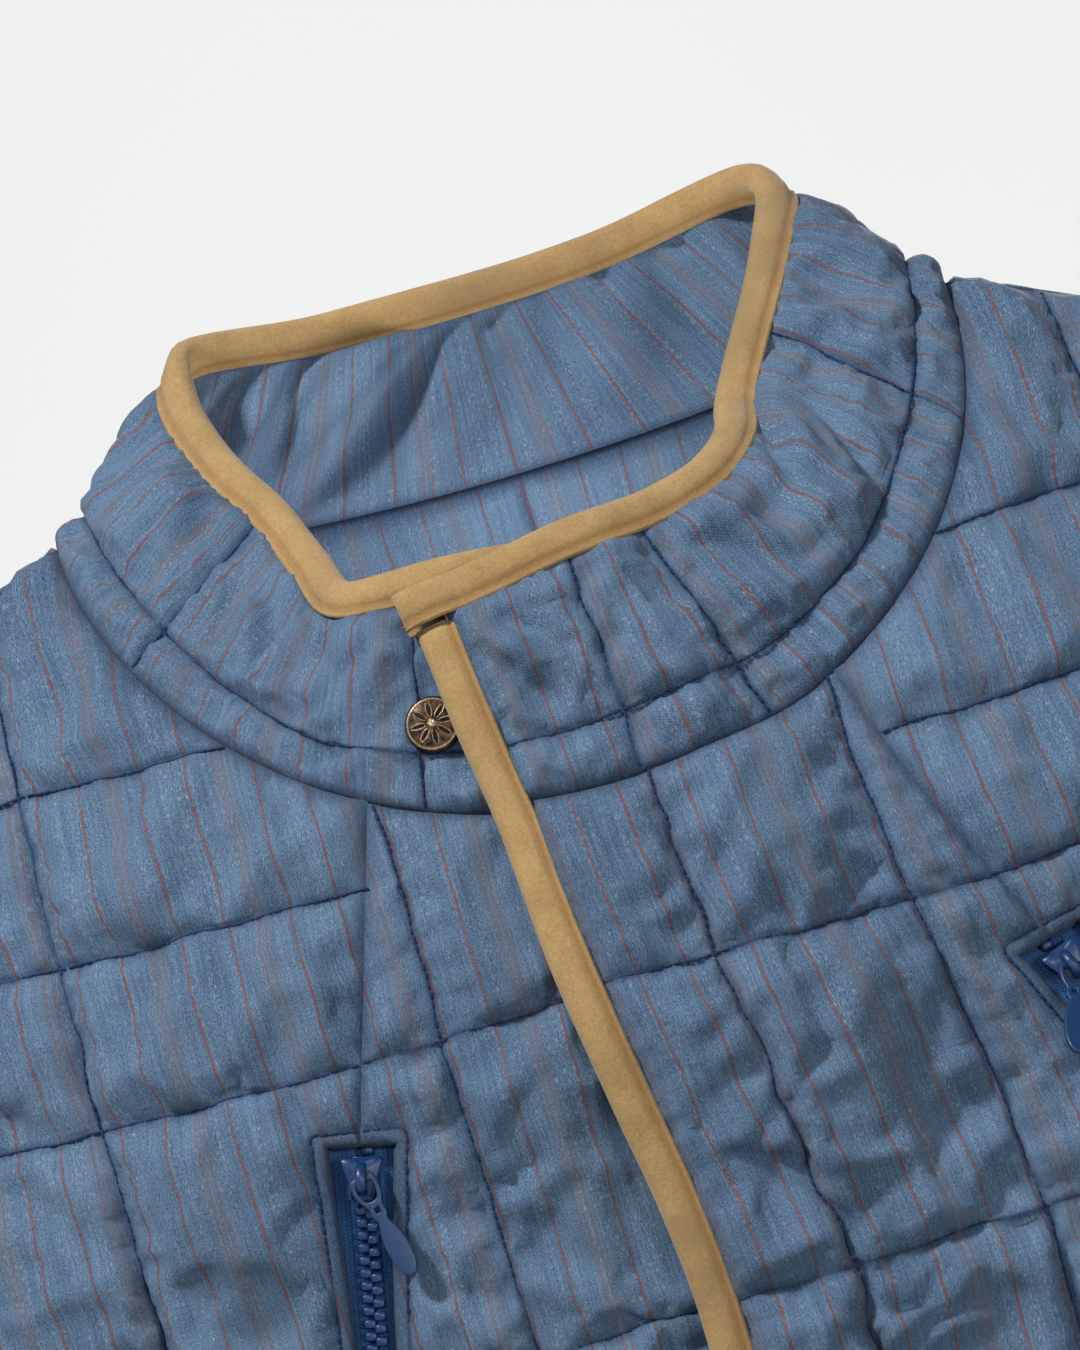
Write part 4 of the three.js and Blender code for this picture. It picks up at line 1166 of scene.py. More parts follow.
class CollarForm:
    """The stand collar's surface: along the neck seam and up to its top edge."""

    def __init__(self) -> None:
        """Reads the two tables of the upper edge."""
        self.edges = {}
        for hand, stations in ((Hand.LEFT, COLLAR_OVER), (Hand.RIGHT, COLLAR_UNDER)):
            turns = [s.turn for s in stations]
            self.edges[hand] = [Curve(turns, [getattr(s, key) for s in stations]) for key in "xyz"]
        self.over_end = 180 - COLLAR_OVER[0].turn
        self.under_end = -(180 - COLLAR_UNDER[0].turn)
        self.first = self.under_end + CUT.collar_end_inset
        self.last = self.over_end - CUT.collar_end_inset
        self.turns = np.linspace(self.under_end, self.over_end, 600)
        middle, _ = self.at(self.turns, 0.5)
        run = np.concatenate([[0], np.cumsum(np.linalg.norm(np.diff(middle, axis=0), axis=1))])
        self.lengths = run - np.interp(0.0, self.turns, run)

    def length_at(self, along: Array | float) -> Array:
        """The distance round the collar, at half its height, of a place in degrees."""
        return np.interp(along, self.turns, self.lengths)

    def _seam(self, turn: Array, hand: Hand) -> Array:
        """The neck seam on the stitched surface."""
        out = np.empty(turn.shape + (3,))
        for side in Side:
            here = (turn < 90) == (side is Side.FRONT)
            at = turn[here] if side is Side.FRONT else 180 - turn[here]
            x, z = neck_place(at, hand, side)
            a = FIGURE.chart_of(x, z)
            up = lift(a) if hand is Hand.LEFT and side is Side.FRONT else 0 * a
            out[here] = FIGURE.point(side, a, z) + FIGURE.normal(side, a, z) * up[:, None]
        return out

    def _half(self, turn: Array, v: Array, hand: Hand) -> Array:
        """The collar's stitched surface on one hand."""
        foot = self._seam(turn, hand)
        head = np.stack([read(turn) for read in self.edges[hand]], axis=-1)
        head[..., 2] += CUT.collar_above
        out = unit(np.stack([foot[..., 0], foot[..., 1] - 0.010, 0 * turn], axis=-1))
        bulge = CUT.collar_bulge * np.sin(math.pi * v)
        return foot + (head - foot) * v[..., None] + out * bulge[..., None]

    def at(self, along: Array, v: Array) -> tuple[Array, Array]:
        """Points and outward directions of the collar.

        Args:
            along: degrees round from the centre back, negative on the wearer's right.
            v: share of the height, 0 at the neck seam.

        Returns:
            The points and the directions.
        """
        along, v = np.broadcast_arrays(np.asarray(along, float), np.asarray(v, float))
        shape = along.shape
        along, v = along.ravel(), v.ravel()
        points, normals = np.empty((len(along), 3)), np.empty((len(along), 3))
        for hand in Hand:
            here = along >= 0 if hand is Hand.LEFT else along < 0
            turn, up = 180 - np.abs(along[here]), v[here]
            point = lambda t, u: self._half(t, u, hand)
            base = point(turn, up)
            run = point(turn + 0.5, up) - point(turn - 0.5, up)
            rise = point(turn, up + 0.02) - point(turn, up - 0.02)
            out = unit(np.cross(run, rise))
            away = np.sum(out[:, :2] * base[:, :2], axis=1)
            points[here], normals[here] = base, np.where(away[:, None] < 0, -out, out)
        return points.reshape(*shape, 3), normals.reshape(*shape, 3)

    def place(self, s: Array, t: Array, height: Array) -> Array:
        """The collar's chart in metres along and up, laid in space."""
        points, normals = self.at(np.interp(s, self.lengths, self.turns), t / CUT.collar_height)
        return points + normals * height[:, None]


COLLAR = CollarForm()
BUTTON_AT = (-159.8, 0.345)
BUTTON_RADIUS = 0.00675


# Folds of the collar: turn round the neck, share of the height, lean in degrees, and then
# length, width and height.
FOLDS_OVER = (
    (47.0, 0.76, -42, 0.031, 0.0036, -0.0036), (52.0, 0.70, -40, 0.028, 0.0060, 0.0024),
    (28.0, 0.60, 40, 0.044, 0.0040, -0.0036), (31.0, 0.80, 38, 0.036, 0.0055, 0.0022),
    (38.0, 0.62, 70, 0.014, 0.0050, -0.0026), (35.5, 0.42, 20, 0.020, 0.0045, -0.0022),
    (14.0, 0.55, 58, 0.030, 0.0040, -0.0020), (17.0, 0.72, 75, 0.024, 0.0042, 0.0016),
    (-4.0, 0.66, 52, 0.026, 0.0026, -0.0028), (-5.0, 0.44, 58, 0.024, 0.0026, -0.0030),
    (-6.5, 0.86, 38, 0.018, 0.0026, -0.0022), (-3.0, 0.54, 55, 0.020, 0.0030, 0.0016),
    (-5.6, 0.52, 56, 0.024, 0.0024, 0.0022), (-4.6, 0.76, 46, 0.022, 0.0024, 0.0020),
    (-8.0, 0.60, 50, 0.018, 0.0022, -0.0022), (1.0, 0.50, 48, 0.018, 0.0022, -0.0024),
    (9.0, 0.44, 44, 0.020, 0.0026, -0.0024), (8.0, 0.62, 40, 0.022, 0.0026, -0.0022),
    (-9.0, 0.30, 40, 0.016, 0.0026, -0.0020), (62.0, 0.55, -60, 0.030, 0.0050, -0.0018),
    (78.0, 0.60, -72, 0.034, 0.0060, -0.0016), (92.0, 0.50, 80, 0.036, 0.0060, -0.0016),
    (108.0, 0.60, -75, 0.032, 0.0060, 0.0014), (150.0, 0.60, 80, 0.034, 0.0070, -0.0016),
)
FOLDS_UNDER = (
    (58.0, 0.52, -60, 0.034, 0.0046, -0.0022), (50.0, 0.60, -66, 0.030, 0.0055, 0.0016),
    (41.0, 0.60, -72, 0.030, 0.0040, -0.0022), (31.0, 0.56, -64, 0.030, 0.0036, -0.0024),
    (27.0, 0.66, -50, 0.024, 0.0036, 0.0014), (70.0, 0.60, -76, 0.034, 0.0050, -0.0018),
    (84.0, 0.55, -80, 0.034, 0.0060, 0.0014), (96.0, 0.66, 70, 0.030, 0.0050, -0.0018),
    (15.0, 0.66, -60, 0.026, 0.0040, -0.0016), (120.0, 0.55, 70, 0.034, 0.0060, -0.0016),
)
# The same for the collar's inside, with places in degrees round from the centre back.
FOLDS_INSIDE = (
    (-16.0, 0.52, 47, 0.074, 0.0052, -0.0050), (-23.0, 0.62, 47, 0.060, 0.0068, 0.0058),
    (-9.0, 0.42, 47, 0.052, 0.0070, 0.0036), (-52.0, 0.55, 66, 0.046, 0.0050, -0.0042),
    (-44.0, 0.50, 66, 0.044, 0.0058, 0.0044), (-62.0, 0.50, 74, 0.040, 0.0050, 0.0036),
    (14.0, 0.60, 84, 0.040, 0.0048, -0.0026), (24.0, 0.52, 80, 0.036, 0.0066, 0.0026),
    (38.0, 0.66, 76, 0.034, 0.0046, -0.0028), (52.0, 0.50, 78, 0.038, 0.0060, 0.0028),
    (4.0, 0.80, 60, 0.022, 0.0034, -0.0026), (30.0, 0.84, 70, 0.018, 0.0032, -0.0026),
    (46.0, 0.86, 96, 0.018, 0.0030, -0.0026), (-34.0, 0.80, 60, 0.026, 0.0034, -0.0032),
    (62.0, 0.70, 84, 0.040, 0.0050, -0.0036), (72.0, 0.60, 84, 0.040, 0.0060, 0.0032),
)


def collar_creases(folds: Sequence[tuple[float, ...]], hand: Hand | None) -> list[Crease]:
    """A table's folds laid in the collar's chart."""
    creases = []
    for turn, share, lean, length, width, height in folds:
        along = turn if hand is None else hand.value * (180 - turn)
        place = float(COLLAR.length_at(along)), share * CUT.collar_height
        creases.append(Crease(*place, lean, length, width, height))
    return creases


def collar_chart() -> Chart:
    """The stand collar's cut."""
    first, last = COLLAR.length_at(COLLAR.first), COLLAR.length_at(COLLAR.last)
    low, high = CUT.collar_start * CUT.collar_height, CUT.collar_top * CUT.collar_height
    outline = np.array([[first, low], [last, low], [last, high], [first, high]])
    turns = [180 - t for t in COLLAR_LINES_OVER] + [t - 180 for t in COLLAR_LINES_UNDER] + [0.0]
    t = np.linspace(-0.002, CUT.collar_height, 20)
    uprights = []
    for i, turn in enumerate(turns):
        line = np.stack([COLLAR.length_at(turn) + 0 * t, t], axis=1)
        uprights.append(Seam(wobbled(line, 0.0009, 200 + i, 0.009), 0.0020))
    s = np.linspace(first - 0.004, last + 0.004, 200)
    level = np.stack([s, CUT.collar_line * CUT.collar_height + 0 * s], axis=1)

    def puff(a: Array, v: Array) -> Array:
        away = np.hypot(a - COLLAR.length_at(BUTTON_AT[0]), v - BUTTON_AT[1] * CUT.collar_height)
        return CUT.collar_puff * smoothstep((away - BUTTON_RADIUS * 0.9) / 0.013)

    return Chart(
        name="collar",
        outline=outline,
        uprights=uprights,
        levels=[Seam(wobbled(level, 0.0004, 220))],
        place=COLLAR.place,
        puff=puff,
        spacing=0.0018,
        rise=0.0034,
        creases=[
            *collar_creases(FOLDS_OVER, Hand.LEFT),
            *collar_creases(FOLDS_UNDER, Hand.RIGHT),
            *scattered(230, (float(first), 0.012), (float(last), high), 64),
        ],
        inner_creases=collar_creases(FOLDS_INSIDE, None),
        inside_puff=0.0020,
        inside_quilted=False,
    )


# ------------------------------------------------------------------ shader maths


class Number:
    """One socket of a shader tree, which Python's own operators work on."""

    def __init__(self, nodes: "Nodes", socket: bpy.types.NodeSocket) -> None:
        """Keeps the tree and the socket."""
        self.nodes = nodes
        self.socket = socket

    def _maths(self, operation: str, *values: "Number | float") -> "Number":
        """The result of one Math node."""
        return self.nodes.add("ShaderNodeMath", {"operation": operation}, dict(enumerate(values)))

    @staticmethod
    def _operator(operation: str, swapped: bool = False) -> Callable[..., "Number"]:
        """One of Python's operators, with its two sides swapped where the number comes second."""

        def apply(self: "Number", other: "Number | float") -> "Number":
            return self._maths(operation, *((other, self) if swapped else (self, other)))

        return apply

    __add__, __radd__ = _operator("ADD"), _operator("ADD", True)
    __sub__, __rsub__ = _operator("SUBTRACT"), _operator("SUBTRACT", True)
    __mul__, __rmul__ = _operator("MULTIPLY"), _operator("MULTIPLY", True)
    __truediv__, __mod__ = _operator("DIVIDE"), _operator("FLOORED_MODULO")

    def __abs__(self) -> "Number":
        """The size without its sign."""
        return self._maths("ABSOLUTE", self)

    def sine(self) -> "Number":
        """The sine."""
        return self._maths("SINE", self)

    def larger(self, other: "Number | float") -> "Number":
        """The larger of the two."""
        return self._maths("MAXIMUM", self, other)

    def rise(self, low: float, high: float) -> "Number":
        """A soft step from 0 at low to 1 at high."""
        settings = {"interpolation_type": "SMOOTHSTEP"}
        return self.nodes.add("ShaderNodeMapRange", settings, {0: self, 1: low, 2: high, 3: 0.0, 4: 1.0})


class Nodes:
    """A material's node tree, with one way of adding to it."""

    def __init__(self, name: str) -> None:
        """Makes the material and clears its tree."""
        self.material = bpy.data.materials.new(name)
        self.material.use_nodes = True
        self.tree = self.material.node_tree
        self.tree.nodes.clear()

    def add(
        self, kind: str, settings: dict | None = None, inputs: dict | None = None, output: int | str = 0
    ) -> Number:
        """Adds a node, sets it up and fills its sockets.

        Args:
            kind: the node's type.
            settings: its properties, or a ramp's stops.
            inputs: values or links by the sockets' numbers or names.
            output: which of its results to give back.

        Returns:
            That result.
        """
        node = self.tree.nodes.new(kind)
        for key, value in (settings or {}).items():
            if key == "stops":
                self._stops(node.color_ramp, value)
            else:
                setattr(node, key, value)
        for key, value in (inputs or {}).items():
            socket = node.inputs[key]
            if isinstance(value, Number):
                self.tree.links.new(value.socket, socket)
            else:
                socket.default_value = value
        return Number(self, node.outputs[output] if len(node.outputs) else None)

    @staticmethod
    def _stops(ramp: bpy.types.ColorRamp, stops: Sequence[tuple[float, tuple]]) -> None:
        """Sets a ramp's stops."""
        while len(ramp.elements) < len(stops):
            ramp.elements.new(1.0)
        for element, (place, colour) in zip(ramp.elements, stops):
            element.position, element.color = place, colour

    def noise(
        self, place: Number, scale: float = 1.0, detail: float = 2.0, roughness: float = 0.5
    ) -> Number:
        """A cloudy pattern from 0 to 1."""
        return self.add("ShaderNodeTexNoise", {"noise_dimensions": "3D"},
                        {"Vector": place, "Scale": scale, "Detail": detail, "Roughness": roughness})

    def vector(self, x: Number | float, y: Number | float, z: Number | float = 0.0) -> Number:
        """Three numbers as one vector."""
        return self.add("ShaderNodeCombineXYZ", {}, {0: x, 1: y, 2: z})

    def blend(self, share: Number | float, first: Number | tuple, second: Number | tuple) -> Number:
        """From the first colour at 0 to the second at 1."""
        return self.add("ShaderNodeMix", {"data_type": "RGBA"}, {0: share, 6: first, 7: second}, 2)

    def chart(self) -> tuple[Number, Number]:
        """The piece's own UV map, across and along, in metres."""
        place = self.add("ShaderNodeUVMap", {"uv_map": "chart"})
        split = self.add("ShaderNodeSeparateXYZ", {}, {0: place})
        return split, Number(self, split.socket.node.outputs[1])

    def position(self) -> Number:
        """The place on the object in metres."""
        return self.add("ShaderNodeTexCoord", {}, {}, "Object")

    def value(self, name: str) -> Number:
        """A number stored on the mesh."""
        return self.add("ShaderNodeAttribute", {"attribute_name": name}, {}, "Fac")

    def bump(self, height: Number, distance: float, strength: float = 1.0) -> Number:
        """A surface roughened by a height from 0 to 1."""
        return self.add("ShaderNodeBump", {}, {"Height": height, "Distance": distance, "Strength": strength})

    def surface(self, **sockets: Number | float | tuple) -> bpy.types.Material:
        """Ends the tree in one surface shader.

        Args:
            sockets: its sockets' values or links, with an underline for each space.

        Returns:
            The material.
        """
        inputs = {key.replace("_", " "): value for key, value in sockets.items()}
        shader = self.add("ShaderNodeBsdfPrincipled", {}, inputs)
        self.add("ShaderNodeOutputMaterial", {}, {"Surface": shader})
        return self.material


def srgb(red: int, green: int, blue: int) -> tuple[float, float, float, float]:
    """A screen colour as the renderer's own."""
    def channel(value: float) -> float:
        value /= 255
        return value / 12.92 if value <= 0.04045 else ((value + 0.055) / 1.055) ** 2.4
    return channel(red), channel(green), channel(blue), 1.0


# ------------------------------------------------------------------ finishes


@dataclass(frozen=True)
class StripedCloth:
    """Blue yarn-dyed cotton with white slubs and thin red-brown stripes, with painted shade at its seams and
    edges.
    """

    dark: tuple = srgb(50, 75, 105)
    light: tuple = srgb(116, 144, 174)
    slub: tuple = srgb(186, 199, 214)
    strong: tuple = srgb(126, 80, 66)
    faint: tuple = srgb(132, 96, 86)
    warm: tuple = srgb(116, 122, 132)
    # Painted shade for the cloth beside its seams and edges.
    deep: tuple = srgb(34, 54, 84)
    # Navy seam colour, also used as painted shadow in the stitch grooves and along the edges.
    seam: tuple = srgb(24, 42, 74)
    repeat: float = 0.0266
    second: float = 0.0158
    pair: tuple[float, float] = (0.0070, 0.0088)

    def build(self) -> bpy.types.Material:
        """Makes the material."""
        n = Nodes("striped_cloth")
        u, v = n.chart()
        place = (u + 10 * self.repeat) % self.repeat
        wander = n.noise(n.vector(u * 40, v * 22), 1, 1) - 0.5

        def stripe(at: float, half: float) -> Number:
            away = abs(place + wander * 0.0003 - at)
            return 1 - away.rise(half * 0.5, half * 1.4)

        grain = n.noise(n.vector(u * 3000, v * 2300), 1, 2, 0.65)
        weave = (u * (2 * math.pi / 0.00058)).sine() * ((v + u * 0.35) * (2 * math.pi / 0.00062)).sine()
        warp = n.noise(n.vector(u * 1700, v * 55), 1, 2, 0.6)
        weft = n.noise(n.vector(u * 70, v * 1500), 1, 1, 0.5)
        cloud = n.noise(n.vector(u * 19, v * 13), 1, 3, 0.6)
        tone = (0.53 + (grain - 0.5) * 1.7 + weave * 0.20 + (warp - 0.5) * 0.75
                + (weft - 0.5) * 0.16 + (cloud - 0.5) * 0.70)
        dash = n.noise(n.vector(u * 5000, v * 760), 1, 1, 0.5).rise(0.52, 0.68)
        patch = n.noise(n.vector(u * 430, v * 9), 1, 1, 0.5).rise(0.42, 0.66)
        colour = n.blend(tone.rise(0.0, 1.0), self.dark, self.light)
        colour = n.blend(dash * (0.12 + patch * 0.36), colour, self.slub)
        band = 1 - abs(place - sum(self.pair) / 2).rise(0.0010, 0.0040)
        colour = n.blend(band * 0.20, colour, self.warm)
        twist = ((v + u * 1.6) * (2 * math.pi / 0.0011)).sine() * 0.5 + 0.5
        yarn = n.noise(n.vector(u * 700, v * 1100), 1, 1, 0.5).rise(0.30, 0.62)
        strong = stripe(0.0004, 0.00040).larger(stripe(self.second, 0.00038))
        colour = n.blend(strong * (0.24 + twist * 0.34 + yarn * 0.38), colour, self.strong)
        dots = ((v * (2 * math.pi / 0.0021)).sine() + yarn * 0.8).rise(-0.3, 0.8)
        faint = stripe(self.pair[0], 0.00032).larger(stripe(self.pair[1], 0.00032))
        colour = n.blend(faint * (0.15 + dots * 0.50), colour, self.faint)
        # Painted shade near the seams and edges.
        colour = n.blend(n.value("shade") * 0.16, colour, self.deep)
        # Seam colour and painted groove shadow along the stitch lines and edges.
        colour = n.blend(n.value("groove") * 0.72, colour, self.seam)
        height = grain * 0.55 + weave * 0.16 + dash * 0.25 + warp * 0.25
        rough = 0.86 + (grain - 0.5) * 0.12
        return n.surface(Base_Color=colour, Roughness=rough, Normal=n.bump(height, 0.00020, 0.8),
                         Sheen_Weight=0.10, Sheen_Roughness=0.45, Specular_IOR_Level=0.20)


@dataclass(frozen=True)
class Suede:
    """Mustard brushed binding cloth, felted and a little rubbed, with painted shade in its stitched crease.
    """

    deep: tuple = srgb(150, 114, 68)
    pale: tuple = srgb(208, 174, 120)
    rubbed: tuple = srgb(146, 124, 92)
    # Painted shade for the crease by the binding's stitch line.
    crease: tuple = srgb(150, 100, 48)

    def build(self) -> bpy.types.Material:
        """Makes the material."""
        n = Nodes("mustard_suede")
        at = n.position()
        nap = n.noise(at, 1300, 3, 0.7)
        blot = n.noise(at, 120, 3, 0.6)
        cloud = n.noise(at, 26, 2, 0.5)
        colour = n.blend((0.30 + (nap - 0.5) * 0.7 + blot * 0.54).rise(0.0, 1.0), self.deep, self.pale)
        colour = n.blend(cloud.rise(0.55, 0.78) * 0.55, colour, self.rubbed)
        # Painted shade in the crease.
        colour = n.blend(n.value("crease") * 0.65, colour, self.crease)
        fuzz = n.noise(at, 3200, 2, 0.7)
        height = nap * 0.6 + fuzz * 0.4 + blot * 0.5
        return n.surface(Base_Color=colour, Roughness=0.95, Normal=n.bump(height, 0.00040, 0.8),
                         Sheen_Weight=0.30, Sheen_Roughness=0.5, Specular_IOR_Level=0.12)


@dataclass(frozen=True)
class ZipWeave:
    """Royal navy zip tape, knitted in ribs along its length."""

    dark: tuple = srgb(14, 50, 102)
    light: tuple = srgb(74, 124, 184)
    rib: float = 0.0011

    def build(self) -> bpy.types.Material:
        """Makes the material."""
        n = Nodes("zip_weave")
        u, v = n.chart()
        rib = (u * (2 * math.pi / self.rib)).sine() * 0.5 + 0.5
        knit = v + abs((u / self.rib) % 1.0 - 0.5) * self.rib
        loop = (knit * (2 * math.pi / 0.0008)).sine() * 0.5 + 0.5
        fuzz = n.noise(n.vector(u * 2500, v * 2500), 1, 2, 0.6)
        tone = rib * 0.14 + loop * 0.30 + fuzz * 0.70
        colour = n.blend(tone.rise(0.1, 0.95), self.dark, self.light)
        bump = n.bump(rib * 0.25 + loop * 0.5 + fuzz * 0.6, 0.0002, 0.8)
        return n.surface(Base_Color=colour, Roughness=0.8, Normal=bump,
                         Sheen_Weight=0.15, Specular_IOR_Level=0.2)


@dataclass(frozen=True)
class Moulded:
    """Moulded blue plastic with a soft shine and a few scuffs."""

    name: str
    body: tuple
    scuff: tuple
    roughness: float

    def build(self) -> bpy.types.Material:
        """Makes the material."""
        n = Nodes(self.name)
        at = n.position()
        mottle = n.noise(at, 700, 3, 0.6)
        scuffs = n.noise(at, 2600, 3, 0.7).rise(0.60, 0.74)
        colour = n.blend(mottle * 0.25 + scuffs * 0.22, self.body, self.scuff)
        rough = self.roughness + (mottle - 0.5) * 0.18 + scuffs * 0.12
        bump = n.bump(mottle + scuffs * 0.3, 0.00006, 0.5)
        return n.surface(Base_Color=colour, Roughness=rough, Normal=bump, Specular_IOR_Level=0.5)


@dataclass(frozen=True)
class AgedBronze:
    """Antique bronze: bright on its raised lines, brown on its dome and black in its hollows."""

    brown: tuple = srgb(96, 70, 50)
    black: tuple = srgb(22, 20, 22)
    bright: tuple = srgb(198, 176, 142)

    def build(self) -> bpy.types.Material:
        """Makes the material."""
        n = Nodes("aged_bronze")
        at = n.position()
        mottle = n.noise(at, 620, 4, 0.65)
        pits = n.noise(at, 2600, 3, 0.6)
        colour = n.blend(mottle.rise(0.38, 0.66), self.black, self.brown)
        colour = n.blend(n.value("hollow") * 0.9, colour, self.black)
        line = n.value("raised") * (0.35 + pits.rise(0.35, 0.6) * 0.65)
        colour = n.blend(line, colour, self.bright)
        rough = 0.42 + (pits - 0.5) * 0.3 - line * 0.12
        return n.surface(Base_Color=colour, Metallic=0.85, Roughness=rough,
                         Normal=n.bump(mottle * 0.5 + pits * 0.5, 0.00008, 0.6))


@dataclass(frozen=True)
class Thread:
    """Twisted sewing thread."""

    name: str
    dark: tuple
    light: tuple

    def build(self) -> bpy.types.Material:
        """Makes the material."""
        n = Nodes(self.name)
        at = n.position()
        ply = n.noise(at, 3800, 2, 0.6)
        colour = n.blend(ply.rise(0.3, 0.7), self.dark, self.light)
        return n.surface(Base_Color=colour, Roughness=0.75, Normal=n.bump(ply, 0.00008, 0.6),
                         Specular_IOR_Level=0.25)


@dataclass(frozen=True)
class Paper:
    """The plain pale floor and backdrop."""

    tone: tuple = srgb(240, 240, 240)

    def build(self) -> bpy.types.Material:
        """Makes the material."""
        n = Nodes("studio_paper")
        grain = n.noise(n.position(), 40, 2, 0.5)
        colour = n.blend(grain * 0.02, self.tone, srgb(225, 225, 225))
        return n.surface(Base_Color=colour, Roughness=1.0, Specular_IOR_Level=0.0)


class Finishes:
    """Every material of the vest, made once."""

    def __init__(self) -> None:
        """Makes them."""
        self.cloth = StripedCloth().build()
        self.suede = Suede().build()
        self.tape = ZipWeave().build()
        self.teeth = Moulded("moulded_teeth", srgb(12, 48, 98), srgb(40, 86, 146), 0.36).build()
        self.pull = Moulded("moulded_pull", srgb(20, 54, 96), srgb(50, 88, 136), 0.40).build()
        self.bronze = AgedBronze().build()
        self.thread = Thread("navy_thread", srgb(14, 30, 60), srgb(46, 70, 112)).build()
        self.edge_thread = Thread("mustard_thread", srgb(150, 104, 48), srgb(206, 160, 90)).build()


# ------------------------------------------------------------------ rows of one shape


class AlongLines:
    """A Geometry Nodes tree that sets one shape at even steps along lines.

    Each line carries the attribute `out`, which the shape's Z follows; its Y follows the line.
    """

    def __init__(self, name: str, finish: bpy.types.Material, unevenness: float = 0.0) -> None:
        """Builds the tree.

        Args:
            name: the tree's name.
            finish: the material set at its end.
            unevenness: how much the shapes' sizes differ.
        """
        tree = bpy.data.node_groups.new(name, "GeometryNodeTree")
        self.tree = tree
        face = tree.interface
        face.new_socket("Lines", in_out="INPUT", socket_type="NodeSocketGeometry")
        self.unit_input = face.new_socket("Shape", in_out="INPUT", socket_type="NodeSocketObject").identifier
        self.pitch_input = face.new_socket("Pitch", in_out="INPUT", socket_type="NodeSocketFloat").identifier
        face.new_socket("Row", in_out="OUTPUT", socket_type="NodeSocketGeometry")
        given = self._add("NodeGroupInput")
        curve = self._add("GeometryNodeMeshToCurve", {}, {0: given.outputs[0]})
        steps = self._add("GeometryNodeResampleCurve", {"mode": "LENGTH"},
                          {0: curve.outputs[0], "Length": given.outputs[2]})
        out = self._add("GeometryNodeInputNamedAttribute", {"data_type": "FLOAT_VECTOR"}, {"Name": "out"})
        stand = self._add("FunctionNodeAlignRotationToVector", {"axis": "Z"}, {"Vector": out.outputs[0]})
        run = self._add("GeometryNodeInputTangent")
        turn = self._add("FunctionNodeAlignRotationToVector", {"axis": "Y", "pivot_axis": "Z"},
                         {"Rotation": stand.outputs[0], "Vector": run.outputs[0]})
        size = self._add("FunctionNodeRandomValue", {"data_type": "FLOAT"},
                         {2: 1 - unevenness, 3: 1 + unevenness, "Seed": 7})
        shape = self._add("GeometryNodeObjectInfo", {}, {"Object": given.outputs[1]})
        row = self._add("GeometryNodeInstanceOnPoints", {}, {
            "Points": steps.outputs[0], "Instance": shape.outputs["Geometry"],
            "Rotation": turn.outputs[0], "Scale": size.outputs[1]})
        real = self._add("GeometryNodeRealizeInstances", {}, {0: row.outputs[0]})
        soft = self._add("GeometryNodeSetShadeSmooth", {}, {0: real.outputs[0]})
        dressed = self._add("GeometryNodeSetMaterial", {}, {0: soft.outputs[0], "Material": finish})
        self._add("NodeGroupOutput", {}, {0: dressed.outputs[0]})

    def _add(self, kind: str, settings: dict | None = None, inputs: dict | None = None) -> bpy.types.Node:
        """Adds one node to the tree, with its settings and its inputs' values or links."""
        node = self.tree.nodes.new(kind)
        for key, value in (settings or {}).items():
            setattr(node, key, value)
        for key, value in (inputs or {}).items():
            if isinstance(value, bpy.types.NodeSocket):
                self.tree.links.new(value, node.inputs[key])
            else:
                node.inputs[key].default_value = value
        return node

    def lay(
        self, name: str, lines: list[tuple[Array, Array]], shape: bpy.types.Object, pitch: float
    ) -> bpy.types.Object:
        """Sets the shape along some lines.

        Args:
            name: the new object's name.
            lines: for each line its points and their outward directions.
            shape: the object to repeat.
            pitch: from one shape to the next.

        Returns:
            One plain mesh object.
        """
        points = np.concatenate([line for line, _ in lines])
        outs = np.concatenate([out for _, out in lines])
        edges, start = [], 0
        for line, _ in lines:
            edges += [(start + i, start + i + 1) for i in range(len(line) - 1)]
            start += len(line)
        mesh = bpy.data.meshes.new(name + "_lines")
        mesh.from_pydata(points.tolist(), edges, [])
        attribute = mesh.attributes.new("out", "FLOAT_VECTOR", "POINT")
        attribute.data.foreach_set("vector", outs.astype(np.float32).ravel())
        obj = linked(name + "_lines", mesh)
        modifier = obj.modifiers.new("row", "NODES")
        modifier.node_group = self.tree
        modifier[self.unit_input] = shape
        modifier[self.pitch_input] = pitch
        plain = applied(obj)
        bpy.data.objects.remove(obj)
        plain.name = name
        return linked(name, plain)


def rounded_block(
    name: str, size: tuple[float, float, float], around: int, rings: int, square: float = 1.0
) -> bpy.types.Object:
    """A small closed form between a ball and a block, centred on the origin.

    Args:
        name: its name.
        size: its whole sizes across, along and up.
        around: points round its Y axis.
        rings: rings of points between its two tips.
        square: 1 for a ball, less for a blockier form.

    Returns:
        The object.
    """
    points = [(0, -size[1] / 2, 0)]
    bend = lambda value: math.copysign(abs(value) ** square, value)
    for j in range(1, rings + 1):
        lean = math.pi * j / (rings + 1)
        for i in range(around):
            turn = 2 * math.pi * i / around
            points.append((bend(math.sin(lean)) * bend(math.cos(turn)) * size[0] / 2,
                           -bend(math.cos(lean)) * size[1] / 2,
                           bend(math.sin(lean)) * bend(math.sin(turn)) * size[2] / 2))
    points.append((0, size[1] / 2, 0))
    last = len(points) - 1
    faces = [[0, 1 + i, 1 + (i + 1) % around] for i in range(around)]
    faces += between_rings(rings, around)
    low = 1 + (rings - 1) * around
    faces += [[low + (i + 1) % around, low + i, last] for i in range(around)]
    obj = mesh_object(name, points, faces)
    face_out(obj)
    return obj


# ------------------------------------------------------------------ bindings


